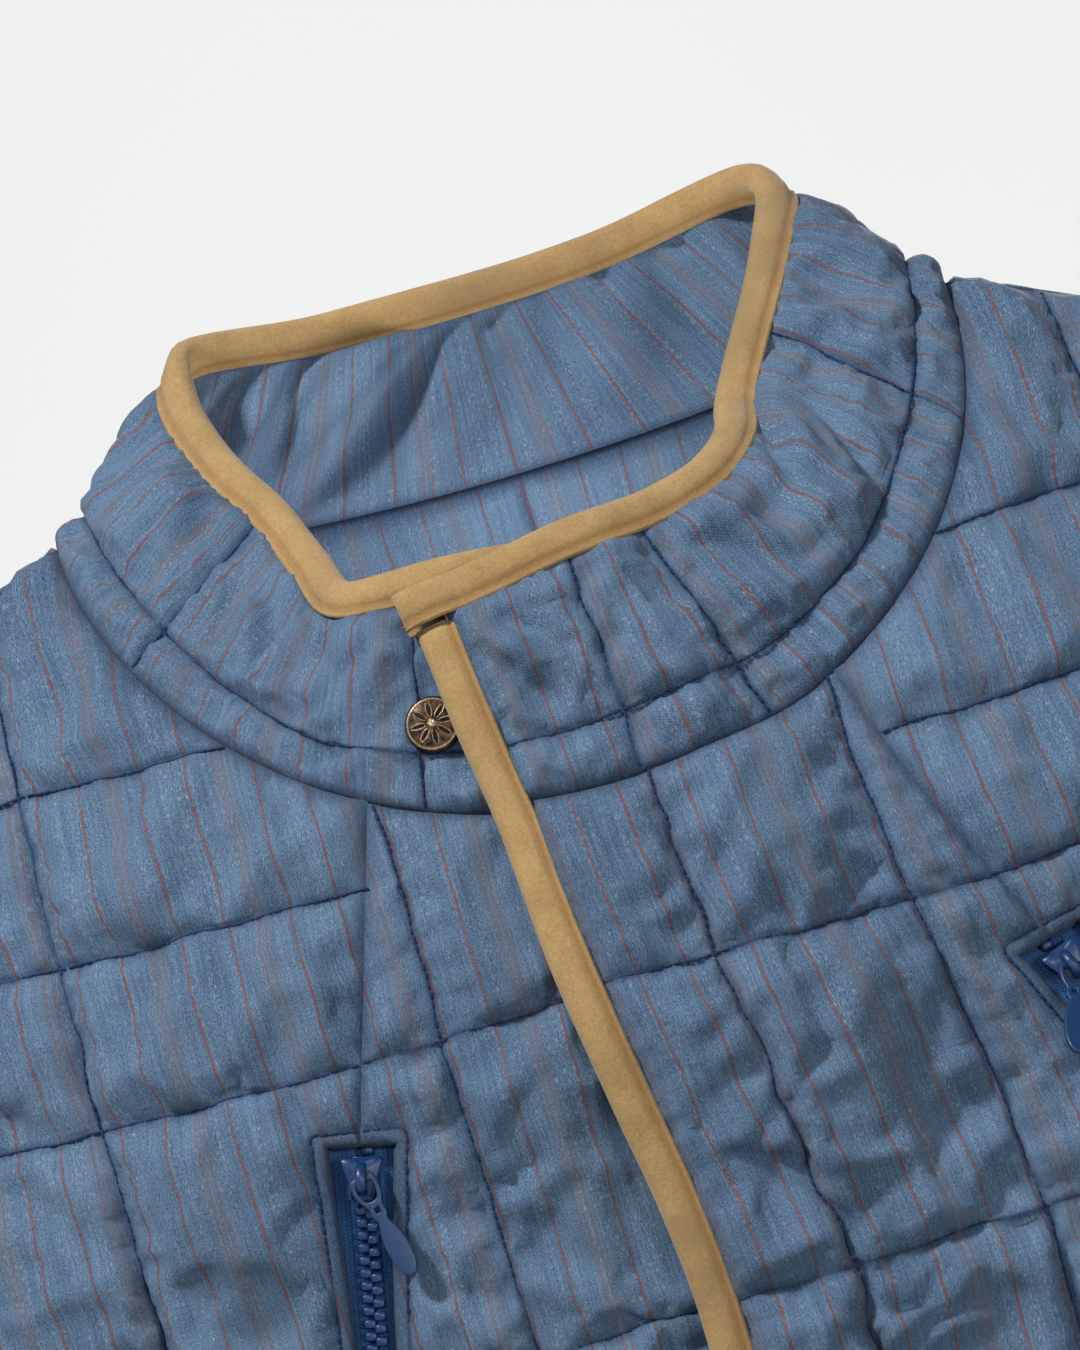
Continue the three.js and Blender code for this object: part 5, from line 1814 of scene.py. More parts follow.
@dataclass
class Stops:
    """Places along an edge: its points, the directions out of the cloth and off its face."""

    points: Array
    outs: Array
    normals: Array

    def settled(self, reach: int, closed: bool = False) -> "Stops":
        """The same stops with the turns between them evened out."""
        mode = "wrap" if closed else "edge"
        weights = np.hanning(2 * reach + 3)[1:-1]
        weights /= weights.sum()

        def even(rows: Array) -> Array:
            padded = np.pad(rows, ((reach, reach), (0, 0)), mode=mode)
            return np.stack([np.convolve(padded[:, k], weights, mode="valid") for k in range(3)], axis=1)

        return Stops(even(self.points), unit(even(self.outs)), unit(even(self.normals)))

    def spaced(self, step: float, closed: bool = False) -> "Stops":
        """The same stops at even steps."""
        rows = np.concatenate([self.points, self.outs, self.normals], axis=1)
        if closed:
            rows = np.concatenate([rows, rows[:1]])
        length = np.concatenate([[0], np.cumsum(np.linalg.norm(np.diff(rows[:, :3], axis=0), axis=1))])
        at = np.linspace(0, length[-1], int(round(length[-1] / step)) + 1)
        even = np.stack([np.interp(at, length, rows[:, k]) for k in range(9)], axis=1)
        if closed:
            even = even[:-1]
        return Stops(even[:, :3], unit(even[:, 3:6]), unit(even[:, 6:]))

    @property
    def length(self) -> float:
        """The length of the edge."""
        return float(np.linalg.norm(np.diff(self.points, axis=0), axis=1).sum())

    @staticmethod
    def chained(parts: Sequence["Stops"]) -> "Stops":
        """Several runs of stops as one."""
        keys = ("points", "outs", "normals")
        return Stops(*(np.concatenate([getattr(p, key) for p in parts]) for key in keys))


def body_stops(
    side: Side, a: Array, z: Array, towards: Callable[[Array], Array], raised: bool = False
) -> Stops:
    """Stops along an edge of a body panel.

    Args:
        side: front or back.
        a: the edge's places round the body, negative on the wearer's right.
        z: their heights.
        towards: for each point, roughly which way is out of the cloth.
        raised: whether the panel lies over the other front.

    Returns:
        The stops.
    """
    normal = FIGURE.normal(side, a, z)
    up = lift(a) if raised else 0 * a
    point = FIGURE.point(side, a, z) + normal * up[:, None]
    run = unit(np.gradient(point, axis=0))
    out = unit(np.cross(run, normal))
    wrong = np.sum(out * towards(point), axis=1) < 0
    out[wrong] *= -1
    middle = (CUT.stitch_height - CUT.wall_in) / 3
    return Stops(point + normal * middle, out, normal)


# The binding's section: out of the cloth, and off its outer face (above zero) or inner face.
ROLL = (
    (-0.0011, 0.0022), (-0.0009, 0.0027), (-0.0001, 0.0028), (0.0005, 0.0024), (0.0010, 0.0028),
    (0.0019, 0.0033), (0.0033, 0.0035), (0.0050, 0.0035), (0.0066, 0.0032), (0.0079, 0.0024),
    (0.0086, 0.0009), (0.0086, -0.0009), (0.0079, -0.0024), (0.0066, -0.0032), (0.0050, -0.0035),
    (0.0033, -0.0035), (0.0019, -0.0031), (0.0009, -0.0027), (0.0001, -0.0026), (-0.0008, -0.0027),
    (-0.0011, -0.0023),
)


@dataclass
class Binding:
    """A folded strip of suede round one edge of the cloth."""

    node: str
    stops: Stops
    closed: bool = False
    covers_ends: bool = False
    lip: float = 0.0
    seed: int = 1

    @property
    def name(self) -> str:
        """The strip's own name, after the node that it stands for."""
        return self.node + "_strip"

    THICK = 0.0008
    AROUND = 24
    STEP = 0.0030
    FLAT_WIDTH = 0.0250

    def _section(self) -> tuple[Array, Array, Array]:
        """The folded strip's outer line, its inner line, and how deep in the crease each place is, as the
        mask for painted crease shade.
        """
        knots = np.array(ROLL)
        knots[:4, 0] -= self.lip
        along = np.concatenate([[0], np.cumsum(np.linalg.norm(np.diff(knots, axis=0), axis=1))])
        at = np.linspace(0, along[-1], self.AROUND)
        outer = np.stack([Curve(along, knots[:, 0])(at), Curve(along, knots[:, 1])(at)], axis=1)
        run = unit(np.gradient(outer, axis=0))
        inner = outer + np.stack([run[:, 1], -run[:, 0]], axis=1) * self.THICK
        # Mask of the painted crease shade, by the stitch line.
        crease = np.exp(-(((outer[:, 0] - 0.0006) / 0.0007) ** 2))
        return outer, inner, crease

    def build(self, finish: bpy.types.Material) -> bpy.types.Object:
        """Makes the strip's closed mesh."""
        stops = self.stops.spaced(self.STEP, self.closed)
        outer, inner, crease = self._section()
        section = np.concatenate([outer, inner[::-1]])
        count, ring = len(stops.points), len(section)
        along = np.arange(count) * self.STEP
        ripple = Ripple(self.seed)
        wave = ripple(along / 0.014, 0.5) * 0.6 + ripple(along / 0.031, 4.5)
        if self.closed:
            blend_in = smoothstep(along / 0.05) * smoothstep((along[-1] - along) / 0.05)
            wave *= blend_in
        ends = np.ones(count)
        cover = np.zeros(count)
        if not self.closed:
            near = np.minimum(along, along[-1] - along)
            ends = np.sqrt(np.clip(1 - (1 - np.clip(near / 0.0022, 0, 1)) ** 2, 0.18, 1))
            if self.covers_ends:
                cover = 1 - smoothstep((near - 0.009) / 0.006)
        u = section[None, :, 0] + (wave * 0.00035)[:, None] * (section[None, :, 0] > 0.002)
        n = section[None, :, 1] * (1 + 0.07 * wave)[:, None]
        pinch = ripple(along[:, None] / 0.006, np.linspace(0, 9, ring)[None, :] + 20) * 0.00022
        n = (n + pinch * np.sign(n)) * ends[:, None]
        n = n + cover[:, None] * np.sign(section[None, :, 1]) * 0.0019
        points = (stops.points[:, None, :] + stops.outs[:, None, :] * u[..., None]
                  + stops.normals[:, None, :] * n[..., None]).reshape(-1, 3)
        faces = []
        spans = count if self.closed else count - 1
        for i in range(spans):
            low, high = i * ring, ((i + 1) % count) * ring
            for k in range(ring):
                step = (k + 1) % ring
                faces.append([low + k, high + k, high + step, low + step])
        if not self.closed:
            for base, turn in ((0, 1), ((count - 1) * ring, -1)):
                for k in range(self.AROUND - 1):
                    quad = [base + k, base + k + 1, base + ring - 2 - k, base + ring - 1 - k]
                    faces.append(quad[::turn])
        obj = mesh_object(self.name, points, faces)
        # The mask of painted crease shade.
        give_value(obj, "crease", np.tile(np.concatenate([crease, crease[::-1]]), count))
        obj.data.materials.append(finish)
        face_out(obj)
        return obj

    def stitch_line(self) -> tuple[Array, Array]:
        """The line of stitches in the crease."""
        stops = self.stops.spaced(0.0015, self.closed)
        line = stops.points + stops.outs * 0.0005 + stops.normals * 0.0019
        return line, stops.normals


class Bindings:
    """All the edges that are bound."""

    def front(self, over: bool) -> Stops:
        """Down a front edge: on the collar first, then on the body."""
        end = COLLAR.over_end if over else COLLAR.under_end
        inner = end - math.copysign(CUT.collar_end_inset, end)
        v = np.linspace(CUT.collar_top - 0.012, 0.05, 24)
        point, normal = COLLAR.at(inner + 0 * v, v)
        outer, _ = COLLAR.at(end + 0 * v, v)
        collar = Stops(point - normal * 0.0008, unit(outer - point), normal)
        start = (CUT.overlap_edge if over else -CUT.overlap_under) + CUT.binding
        hand = 1 if over else -1
        turn = math.degrees(math.asin(start / CUT.neck_half))
        top = neck_edge(turn, turn + 1, Hand(hand), Side.FRONT)[0, 1] - 0.004
        z = np.linspace(top, CUT.bottom + 0.0003, 200)
        shift = drift(z) if over else 0 * z
        towards = lambda p: np.broadcast_to(np.array([-hand, 0.0, 0.0]), p.shape)
        body = body_stops(Side.FRONT, hand * (start + shift), z, towards, over)
        return Stops.chained([collar, body]).spaced(0.0015).settled(4)

    def collar(self) -> Stops:
        """Along the collar's upper edge."""
        along = np.linspace(COLLAR.under_end, COLLAR.over_end, 420)
        point, normal = COLLAR.at(along, CUT.collar_top)
        above, _ = COLLAR.at(along, CUT.collar_top + 0.05)
        run = unit(np.gradient(point, axis=0))
        out = above - point
        out = unit(out - run * np.sum(out * run, axis=1, keepdims=True))
        return Stops(point - normal * 0.0008, out, normal).spaced(0.0015).settled(3)

    def hem(self) -> Stops:
        """Round the hem, from the left front's edge round the back to the right one's."""
        side = FIGURE.side - CUT.gap / 2
        down = lambda p: np.broadcast_to(np.array([0.0, 0.0, -1.0]), p.shape)
        shift = float(drift(CUT.bottom))
        parts = [
            (Side.FRONT, CUT.overlap_edge + shift + 0.0005, side, True),
            (Side.BACK, side, -side, False),
            (Side.FRONT, -side, CUT.overlap_under - 0.0005, False),
        ]
        runs = []
        for face, start, end, raised in parts:
            a = np.linspace(start, end, int(abs(end - start) / 0.003))
            runs.append(body_stops(face, a, CUT.bottom + 0 * a, down, raised))
        return Stops.chained(runs).spaced(0.002).settled(3)

    def armhole(self, hand: Hand) -> Stops:
        """Round an armhole."""
        towards = lambda p: np.array([hand.value * 0.260, 0.0, -0.140]) - p
        front, back = armhole_edge(Side.FRONT), armhole_edge(Side.BACK)[:-1][::-1]
        runs = [body_stops(side, edge[:, 0] * hand.value, edge[:, 1], towards)
                for side, edge in ((Side.FRONT, front), (Side.BACK, back))]
        return Stops.chained(runs).spaced(0.002, True).settled(4, True)

    def all(self) -> list[Binding]:
        """Every binding, ready to be made."""
        return [
            Binding("collar_binding", self.collar(), covers_ends=True, lip=0.0005, seed=301),
            Binding("left_front_binding", self.front(True), seed=302),
            Binding("right_front_binding", self.front(False), seed=303),
            Binding("hem_binding", self.hem(), seed=304),
            Binding("left_armhole_binding", self.armhole(Hand.LEFT), True, seed=305),
            Binding("right_armhole_binding", self.armhole(Hand.RIGHT), True, seed=306),
        ]


# ------------------------------------------------------------------ pocket zips


@dataclass
class PocketZip:
    """One closed zip in the slanted seam: tape, teeth, slider and pull tab."""

    hand: Hand
    yaw: float
    tilt: float

    UNDER = 0.0012
    CHAIN_HEIGHT = 0.0029
    SLIDER_Z = -0.154
    SLIDER_CLEAR = 0.00025
    SLIDER_HEIGHT = 0.0024
    PULL_LIFT = 0.00092
    TAPE_HALF = 0.012
    TOOTH_PITCH = 0.0029
    TOOTH_SIZE = (0.0030, 0.0021, 0.0026)
    TOOTH_OUT = 0.00125

    @property
    def tape_top(self) -> float:
        """The tape's upper face, over the stitched surface."""
        return -CUT.wall_in - self.UNDER

    @property
    def word(self) -> str:
        """The wearer's hand, for names."""
        return self.hand.name.lower()

    def frame_at(self, z: Array, sideways: Array | float = 0.0) -> tuple[Array, Array, Array, Array]:
        """Places on the slanted seam.

        Args:
            z: their heights.
            sideways: how far out of the seam, in the chart.

        Returns:
            The points, and the directions across, up the seam and off the cloth.
        """
        shift = drift if self.hand is Hand.LEFT else no_shift
        z, sideways = np.broadcast_arrays(np.asarray(z, float), np.asarray(sideways, float))

        def at(level: Array) -> tuple[Array, Array]:
            a = (slant_at(level) + shift(level) + sideways) * self.hand.value
            return FIGURE.point(Side.FRONT, a, level), FIGURE.normal(Side.FRONT, a, level)

        point, normal = at(z)
        up = unit(at(z + 0.004)[0] - at(z - 0.004)[0])
        across = unit(np.cross(up, normal))
        return point, across, np.cross(normal, across), normal

    def tape(self, finish: bpy.types.Material) -> bpy.types.Object:
        """The woven tape, with a cord along each inner edge."""
        thick = 0.0008
        u = np.array([-12, -9.5, -7, -5.2, -4.4, -3.9, -3.4, -2.9, -2.4, -1.2, 0,
                      1.2, 2.4, 2.9, 3.4, 3.9, 4.4, 5.2, 7, 9.5, 12]) * MM
        cord = 0.0006 * np.exp(-(((np.abs(u) - 0.0035) / 0.0007) ** 2))
        z = np.arange(CUT.zip_top + 0.005, CUT.zip_bottom - 0.005, -0.003)
        grid_z, grid_u = np.meshgrid(z, u, indexing="ij")
        point, _, _, normal = self.frame_at(grid_z, grid_u)
        top = point + normal * (self.tape_top - 0.0003 + cord)[None, :, None]
        low = point + normal * (self.tape_top - 0.0003 - thick)
        rows, columns = grid_z.shape
        number = np.arange(rows * columns).reshape(rows, columns)
        count = rows * columns
        faces = []
        for i in range(rows - 1):
            for j in range(columns - 1):
                quad = [number[i, j], number[i + 1, j], number[i + 1, j + 1], number[i, j + 1]]
                faces += [quad, [count + k for k in reversed(quad)]]
        rim = [*number[0, :], *number[1:, -1], *number[-1, -2::-1], *number[-2:0:-1, 0]]
        for p, q in zip(rim, rim[1:] + rim[:1]):
            faces.append([p, q, count + q, count + p])
        points = np.concatenate([top.reshape(-1, 3), low.reshape(-1, 3)])
        obj = mesh_object(f"{self.word}_zip_tape", points, faces)
        mend(obj.data)
        give_chart(obj, np.tile(np.stack([grid_u.ravel(), grid_z.ravel()], axis=1), (2, 1)))
        obj.data.materials.append(finish)
        return obj

    def tooth_lines(self) -> list[tuple[Array, Array]]:
        """Two rows of places for the teeth, half a pitch apart."""
        lines = []
        for k, way in enumerate((-1, 1)):
            top = CUT.zip_top - 0.002 - k * self.TOOTH_PITCH / 2
            z = np.arange(top, CUT.zip_bottom + 0.002, -0.001)
            point, _, _, normal = self.frame_at(z, way * self.TOOTH_OUT)
            lines.append((point + normal * (self.tape_top + self.TOOTH_SIZE[2] / 2 - 0.0002), normal))
        return lines

    def _set_on(self, obj: bpy.types.Object, z: float, raise_by: float, turn: Matrix | None = None) -> None:
        """Moves a piece drawn with x across, y up the seam and z outwards to its place there."""
        point, across, up, normal = (rows[0] for rows in self.frame_at(np.array([z])))
        basis = Matrix.Identity(4)
        for column, axis in enumerate((across, up, normal)):
            for row in range(3):
                basis[row][column] = axis[row]
        if turn is not None:
            basis = basis @ turn
        basis.translation = Vector(point + normal * raise_by)
        obj.data.transform(basis)

    @property
    def slider_base(self) -> float:
        """The slider's underside over the chain."""
        return self.tape_top + self.CHAIN_HEIGHT + self.SLIDER_CLEAR

    @staticmethod
    def _shield(bm: bmesh.types.BMesh, around: int = 20) -> None:
        """The slider's body, notched between its wings, in rows of place, half width and height."""
        rows = ((-5.0, 1.7, 1.2), (-4.5, 2.3, 1.8), (-3.0, 2.8, 2.3), (-0.6, 3.4, 2.4), (1.6, 4.1, 2.3),
                (3.2, 4.6, 2.1), (4.3, 4.9, 1.8), (4.9, 4.9, 1.4), (5.2, 4.5, 0.9))
        rings = []
        for y, half, high in rows:
            ring = []
            for i in range(around):
                turn = 2 * math.pi * i / around
                c, s = math.cos(turn), math.sin(turn)
                x = half * math.copysign(abs(c) ** 0.55, c)
                z = high / 2 + high / 2 * math.copysign(abs(s) ** 0.6, s)
                notch = 1.3 * math.exp(-((x / 1.7) ** 2)) * max(y - 3.0, 0.0) / 2.2
                ring.append(bm.verts.new((x * MM, (y - notch) * MM, z * MM)))
            rings.append(ring)
        close_tube(bm, rings)

    @staticmethod
    def _flanges(bm: bmesh.types.BMesh) -> None:
        """The slider's two sides, beside the chain."""
        for way in (-1, 1):
            made = bmesh.ops.create_cube(bm, size=1.0)["verts"]
            bmesh.ops.scale(bm, vec=Vector((0.7, 8.0, 3.0)) * MM, verts=made)
            bmesh.ops.translate(bm, vec=Vector((way * 3.3, -0.6, -0.7)) * MM, verts=made)

    @staticmethod
    def _lug(bm: bmesh.types.BMesh, around: int = 12) -> None:
        """The arch that the pull tab hangs on, a flattened tube."""
        path = [(-3.0, 1.6), (-2.7, 3.0), (-1.9, 4.4), (-0.7, 5.0),
                (0.7, 5.0), (2.0, 4.3), (3.0, 3.1), (3.5, 1.6)]
        tube, places = [], [Vector((0, y * MM, z * MM)) for y, z in path]
        for k, place in enumerate(places):
            run = (places[min(k + 1, len(places) - 1)] - places[max(k - 1, 0)]).normalized()
            side = Vector((1, 0, 0))
            up = side.cross(run)
            ring = []
            for i in range(around):
                turn = 2 * math.pi * i / around
                across, outward = math.cos(turn) * 1.25 * MM, math.sin(turn) * 0.75 * MM
                ring.append(bm.verts.new(place + side * across + up * outward))
            tube.append(ring)
        close_tube(bm, tube)

    def slider(self, finish: bpy.types.Material) -> bpy.types.Object:
        """The slider: a shield with wings, its flanges and a raised lug."""
        bm = bmesh.new()
        self._shield(bm)
        self._flanges(bm)
        self._lug(bm)
        bmesh.ops.recalc_face_normals(bm, faces=bm.faces)
        mesh = bpy.data.meshes.new(f"{self.word}_slider_body")
        bm.to_mesh(mesh)
        bm.free()
        mesh.shade_smooth()
        obj = linked(mesh.name, mesh)
        soften(obj, 0.00025, 2)
        self._set_on(obj, self.SLIDER_Z, self.slider_base)
        obj.data.materials.append(finish)
        return obj

    def pull(self, finish: bpy.types.Material) -> bpy.types.Object:
        """The pull tab: a loop through the lug, a narrow neck and a leaf-shaped paddle."""
        right = [(0.0, 0.8), (2.0, 0.8), (3.0, 0.2), (3.2, -1.2), (3.0, -3.8), (2.3, -5.8),
                 (1.8, -6.8), (1.8, -9.2), (1.35, -9.9), (1.3, -10.8), (2.0, -13.0), (2.6, -15.8),
                 (2.7, -18.4), (2.5, -21.2), (1.8, -23.4), (0.9, -24.7), (0.0, -25.0)]
        loop = [(-1.9, -1.0), (1.9, -1.0), (2.15, -1.4), (1.95, -3.8),
                (1.2, -5.3), (-1.2, -5.3), (-1.95, -3.8), (-2.15, -1.4)]
        window = [(-0.7, -7.1), (0.7, -7.1), (0.7, -8.7), (-0.7, -8.7)]
        outline = right + [(-x, y) for x, y in right[-2:0:-1]]
        curve = bpy.data.curves.new(f"{self.word}_tab_outline", "CURVE")
        curve.dimensions = "2D"
        curve.fill_mode = "BOTH"
        for places in (outline, loop, window):
            spline = curve.splines.new("BEZIER")
            spline.bezier_points.add(len(places) - 1)
            for point, (x, y) in zip(spline.bezier_points, places):
                point.co = (x * MM, y * MM, 0)
                point.handle_left_type = point.handle_right_type = "VECTOR" if places is window else "AUTO"
            spline.use_cyclic_u = True
            spline.resolution_u = 4
        curve.extrude = 0.00032
        curve.bevel_depth = 0.00048
        curve.offset = -0.00040
        curve.bevel_resolution = 3
        flat = linked(curve.name, curve)
        mesh = applied(flat)
        bpy.data.objects.remove(flat)
        mesh.name = f"{self.word}_pull_tab"
        mend(mesh, merge=1e-6)
        mesh.shade_smooth()
        obj = linked(mesh.name, mesh)
        turn = Matrix.Rotation(-math.radians(self.yaw) * self.hand.value, 4, "Z")
        turn = turn @ Matrix.Rotation(-math.radians(self.tilt), 4, "X")
        self._set_on(obj, self.SLIDER_Z, self.slider_base + self.SLIDER_HEIGHT + self.PULL_LIFT, turn)
        obj.data.materials.clear()
        obj.data.materials.append(finish)
        return obj


def soften(obj: bpy.types.Object, width: float, segments: int) -> None:
    """Rounds a piece's sharp edges and applies that to its mesh."""
    bevel = obj.modifiers.new("soft_edges", "BEVEL")
    bevel.width = width
    bevel.segments = segments
    bevel.limit_method = "ANGLE"
    bevel.angle_limit = math.radians(40)
    made = applied(obj)
    obj.modifiers.remove(bevel)
    old, obj.data = obj.data, made
    made.name = old.name
    bpy.data.meshes.remove(old)


# ------------------------------------------------------------------ button


@dataclass
class Button:
    """The collar's domed metal button, with a plain rosette of eight leaves."""

    rise: float = 0.0028
    clear: float = 0.00085
    leaves: int = 8
    rings: int = 44
    around: int = 160

    def build(self, finish: bpy.types.Material) -> bpy.types.Object:
        """Makes the button's closed mesh."""
        radius = BUTTON_RADIUS
        r = np.linspace(0.012, 1, self.rings) ** 0.9
        turn = np.linspace(0, 2 * math.pi, self.around, endpoint=False)
        rr, tt = np.meshgrid(r, turn, indexing="ij")
        dome = 1.7 + (self.rise / MM - 1.7) * np.sqrt(np.clip(1 - (rr * 1.02) ** 2, 0, 1))
        share = np.cos(self.leaves * tt)
        leaf_mid, leaf_half = 0.50, 0.27
        across = np.abs(np.angle(np.exp(1j * self.leaves * tt))) / math.pi * rr * 0.42
        along = np.clip(1 - ((rr - leaf_mid) / leaf_half) ** 2, 0, 1)
        width = 0.10 * np.sqrt(along)
        edge = across - width
        hollow = smoothstep(-edge / 0.030) * (along > 0)
        raised = np.exp(-((edge / 0.016) ** 2)) * (along > 0.02)
        rim = np.exp(-(((rr - 0.90) / 0.035) ** 2))
        boss = np.exp(-((rr / 0.13) ** 4))
        raised = np.maximum(raised, np.maximum(rim * 0.8, boss * 0.8))
        height = dome + 0.16 * raised - 0.26 * hollow + 0.02 * share * (rr < 0.85)
        height -= 0.25 * smoothstep((rr - 0.94) / 0.06)
        top = np.stack([rr * radius * np.cos(tt), rr * radius * np.sin(tt), height * MM], axis=-1)
        top = top.reshape(-1, 3)
        low = [(1.0, 1.05), (0.985, 0.55), (0.9, 0.12), (0.5, 0.0)]
        under = [
            np.stack([s * radius * np.cos(turn), s * radius * np.sin(turn), h * MM + 0 * turn], axis=-1)
            for s, h in low
        ]
        points = np.concatenate([[[0, 0, float(height[0].mean()) * MM]], top, *under, [[0, 0, 0.0]]])
        rows, faces = self.rings + len(low), []
        for i in range(self.around):
            j = (i + 1) % self.around
            faces.append([0, 1 + i, 1 + j])
            for k in range(rows - 1):
                a = 1 + k * self.around
                b = a + self.around
                faces.append([a + i, b + i, b + j, a + j])
            foot = 1 + (rows - 1) * self.around
            faces.append([foot + j, foot + i, len(points) - 1])
        obj = mesh_object("rosette_button", points, faces)
        plain = np.zeros(len(low) * self.around + 1)
        give_value(obj, "raised", np.concatenate([[1.0], raised.ravel(), plain]))
        give_value(obj, "hollow", np.concatenate([[0.0], hollow.ravel(), plain]))
        face_out(obj)
        point, normal = COLLAR.at(np.array([BUTTON_AT[0]]), np.array([BUTTON_AT[1]]))
        out = Vector(normal[0])
        side = Vector((0, 0, 1)).cross(out).normalized()
        basis = Matrix((side, out.cross(side), out)).transposed().to_4x4()
        basis.translation = Vector(point[0]) + out * (CUT.stitch_height + self.clear)
        obj.data.transform(basis)
        obj.data.materials.append(finish)
        return obj


# ------------------------------------------------------------------ studio


@dataclass
class Studio:
    """A camera a little above the chest, a pale floor and backdrop, and soft light."""

    target: tuple[float, float, float] = (-0.0091, -0.1100, -0.0534)
    pitch: float = 5.0
    roll: float = 16.8
    distance: float = 1.3
    lens: float = 152.53
    sweeps: int = 4
    sweep_power: float = 225.0

    def camera(self) -> None:
        """Sets the camera."""
        pitch, roll = math.radians(self.pitch), math.radians(self.roll)
        forward = Vector((0, math.cos(pitch), -math.sin(pitch)))
        level_up = Vector((0, math.sin(pitch), math.cos(pitch)))
        right = Vector((1, 0, 0)) * math.cos(roll) - level_up * math.sin(roll)
        up = Vector((1, 0, 0)) * math.sin(roll) + level_up * math.cos(roll)
        data = bpy.data.cameras.new("camera")
        data.sensor_fit = "VERTICAL"
        data.sensor_height = 36
        data.lens = self.lens
        data.clip_start, data.clip_end = 0.05, 40
        camera = linked("camera", data)
        camera.matrix_world = Matrix((right, up, -forward)).transposed().to_4x4()
        camera.location = Vector(self.target) - forward * self.distance
        bpy.context.scene.camera = camera

    def backdrop(self, finish: bpy.types.Material) -> None:
        """Sets a round floor that curves up into a backdrop on all sides."""
        floor, reach, radius, around = -0.645, 8.0, 2.5, 64
        profile = [(0.5, floor), (1.5, floor), (3.0, floor), (reach - radius, floor)]
        for i in range(1, 17):
            turn = math.pi / 2 * i / 16
            out, up = radius * math.sin(turn), radius * (1 - math.cos(turn))
            profile.append((reach - radius + out, floor + up))
        profile.append((reach, 6.0))
        angles = [2 * math.pi * k / around for k in range(around)]
        points = [(0.0, 0.0, floor)]
        points += [(r * math.cos(t), r * math.sin(t), z) for r, z in profile for t in angles]
        faces = [[0, 1 + k, 1 + (k + 1) % around] for k in range(around)]
        faces += between_rings(len(profile), around)
        obj = mesh_object("studio_sweep", points, faces)
        obj.visible_diffuse = False
        obj.data.materials.append(finish)

    def _panel(
        self, name: str, place: Sequence[float], at: Sequence[float], size: float, power: float
    ) -> None:
        """One soft light, aimed at a place."""
        data = bpy.data.lights.new(name, "AREA")
        data.shape = "DISK"
        data.size = size
        data.energy = power
        light = linked(name, data)
        light.visible_camera = False
        light.location = place
        light.rotation_euler = (Vector(at) - Vector(place)).to_track_quat("-Z", "Y").to_euler()

    def lights(self) -> None:
        """Sets the soft lights and the even surroundings."""
        chest = (0.0, -0.05, -0.1)
        self._panel("key", (-1.40, -1.15, 2.60), chest, 0.50, 90)
        self._panel("fill", (1.3, -2.3, 0.15), (0.0, -0.05, -0.25), 0.8, 15)
        self._panel("behind", (0.9, 2.7, 0.35), (0.0, 0.1, -0.3), 1.2, 44)
        self._panel("neck", (-0.05, -1.55, 0.42), (0.0, 0.05, -0.02), 0.30, 3)
        self._panel("bounce", (0.0, -0.005, -0.105), (0.0, 0.07, 0.0), 0.07, 0.13)
        for k in range(self.sweeps):
            turn = math.pi / 2 + 2 * math.pi * k / self.sweeps
            out = Vector((math.cos(turn), math.sin(turn), 0.0))
            self._panel(f"sweep_{k}", out * 3.4 + Vector((0, 0, 3.2)), out * 7.2, 2.4, self.sweep_power)
        world = bpy.data.worlds.new("even_light")
        world.use_nodes = True
        ground = next(n for n in world.node_tree.nodes if n.type == "BACKGROUND")
        ground.inputs["Color"].default_value = (0.95, 0.97, 1.0, 1.0)
        ground.inputs["Strength"].default_value = 0.07
        bpy.context.scene.world = world
        bpy.context.scene.view_settings.view_transform = "Standard"


# ------------------------------------------------------------------ the vest


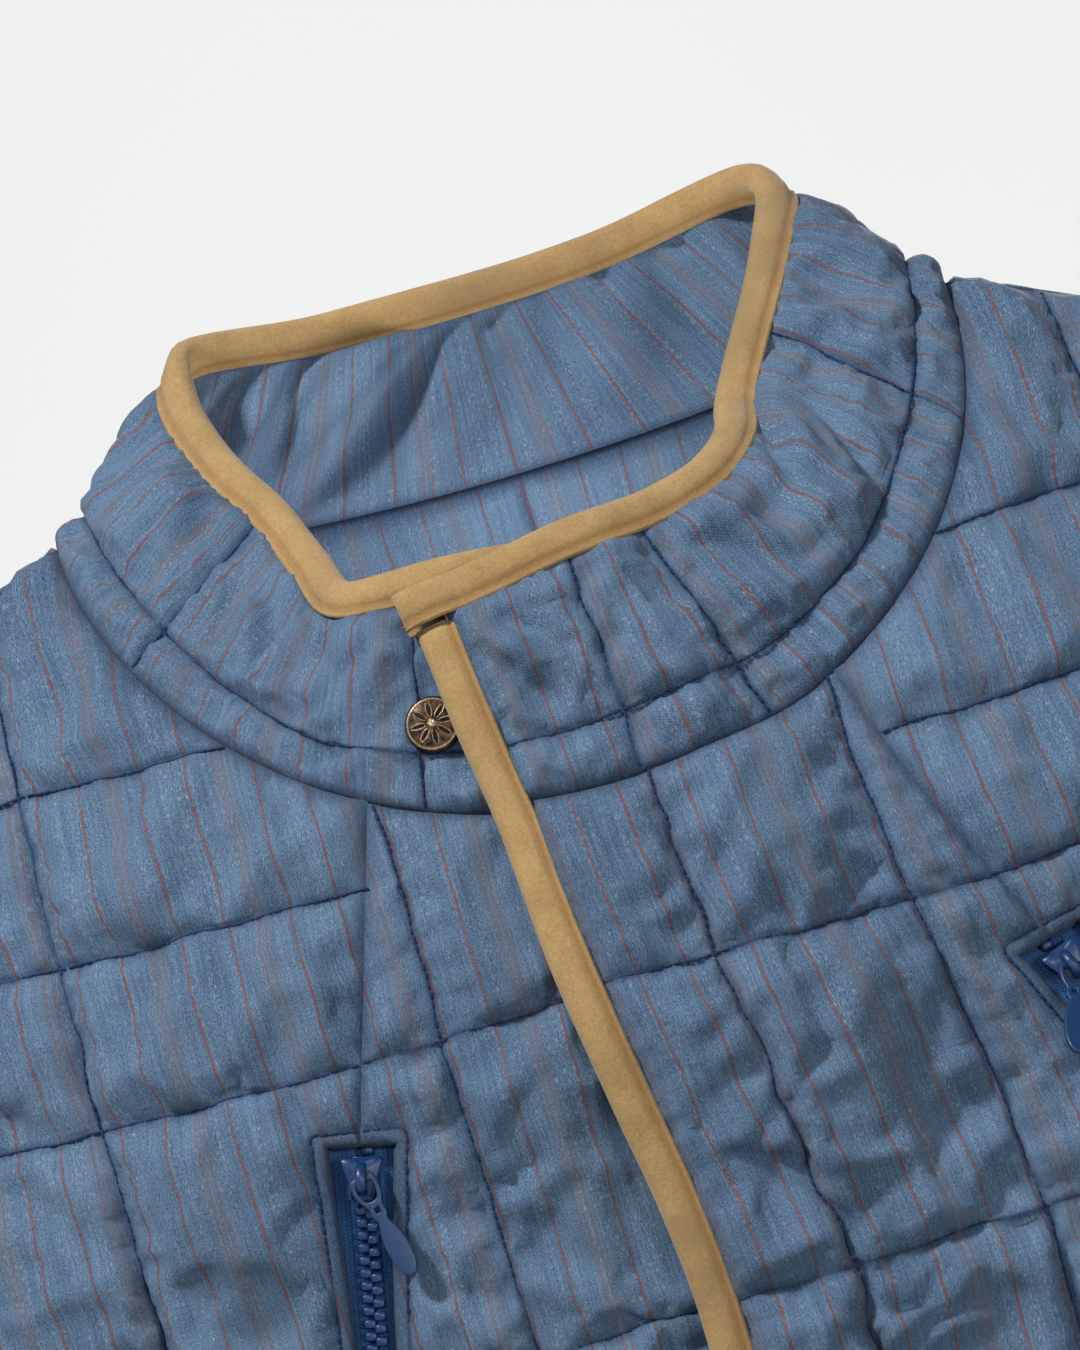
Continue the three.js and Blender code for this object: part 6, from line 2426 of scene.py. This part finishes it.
@dataclass
class Vest:
    """Dresses the frame: cloth, stitches, bindings, zips and button."""

    finishes: Finishes = field(default_factory=Finishes)

    def _report(self, obj: bpy.types.Object, body: str, slot: str, *nodes: str) -> None:
        """Puts a piece on its body, hides the nodes that it stands for and logs its face count."""
        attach(obj, body)
        if nodes:
            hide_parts(*nodes)
        log.info("%s: %d faces, rides on %s", obj.name, len(obj.data.polygons), body)

    def quilting(self) -> None:
        """The five body panels, the collar and their stitches."""
        lines: list[tuple[Array, Array]] = []
        for chart in [*BodyPanels().charts(), collar_chart()]:
            quilt = Quilt(chart)
            obj = quilt.build(self.finishes.cloth)
            self._report(obj, "vest", "quilted_cloth", chart.name)
            lines += quilt.stitches()
        stitch = rounded_block("stitch", (0.00082, 0.0024, 0.00084), 5, 2, 0.8)
        tree = AlongLines("quilt_stitches", self.finishes.thread, 0.06)
        row = tree.lay("quilting_stitches", lines, stitch, 0.0023)
        bpy.data.objects.remove(stitch)
        self._report(row, "vest", "quilted_cloth")

    def bindings(self) -> None:
        """The six bindings and their edge stitches."""
        lines = []
        for binding in Bindings().all():
            obj = binding.build(self.finishes.suede)
            self._report(obj, "vest", "binding", binding.node)
            lines.append(binding.stitch_line())
        stitch = rounded_block("edge_stitch", (0.00040, 0.0022, 0.00040), 5, 3, 0.8)
        tree = AlongLines("edge_stitches", self.finishes.edge_thread, 0.08)
        row = tree.lay("binding_stitches", lines, stitch, 0.0028)
        bpy.data.objects.remove(stitch)
        self._report(row, "vest", "binding")

    def zips(self) -> None:
        """Both pocket zips."""
        tree = AlongLines("zip_teeth", self.finishes.teeth)
        tooth = rounded_block("tooth", PocketZip.TOOTH_SIZE, 12, 7, 0.5)
        for zip_ in (PocketZip(Hand.LEFT, 42, 36), PocketZip(Hand.RIGHT, 27, 11)):
            word = zip_.word
            tape = zip_.tape(self.finishes.tape)
            2 * PocketZip.TAPE_HALF
            self._report(tape, "vest", "zip_tape", f"{word}_zip")
            teeth = tree.lay(f"{word}_zip_teeth", zip_.tooth_lines(), tooth, PocketZip.TOOTH_PITCH)
            self._report(teeth, "vest", "zip_plastic")
            self._report(zip_.slider(self.finishes.teeth), "vest", "zip_plastic", f"{word}_zip_slider")
            self._report(zip_.pull(self.finishes.pull), f"{word}_pull", "zip_plastic", f"{word}_zip_pull")
        bpy.data.objects.remove(tooth)

    def button(self) -> None:
        """The collar's button."""
        self._report(Button().build(self.finishes.bronze), "vest", "button_metal", "button")


def main() -> None:
    """Builds the studio and the vest, and writes how large it came out."""
    logging.basicConfig(level=logging.INFO, format="%(name)s: %(message)s")
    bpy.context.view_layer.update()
    studio = Studio()
    studio.camera()
    studio.backdrop(Paper().build())
    studio.lights()
    vest = Vest()
    vest.quilting()
    vest.bindings()
    vest.zips()
    vest.button()


if __name__ == "__main__":
    main()
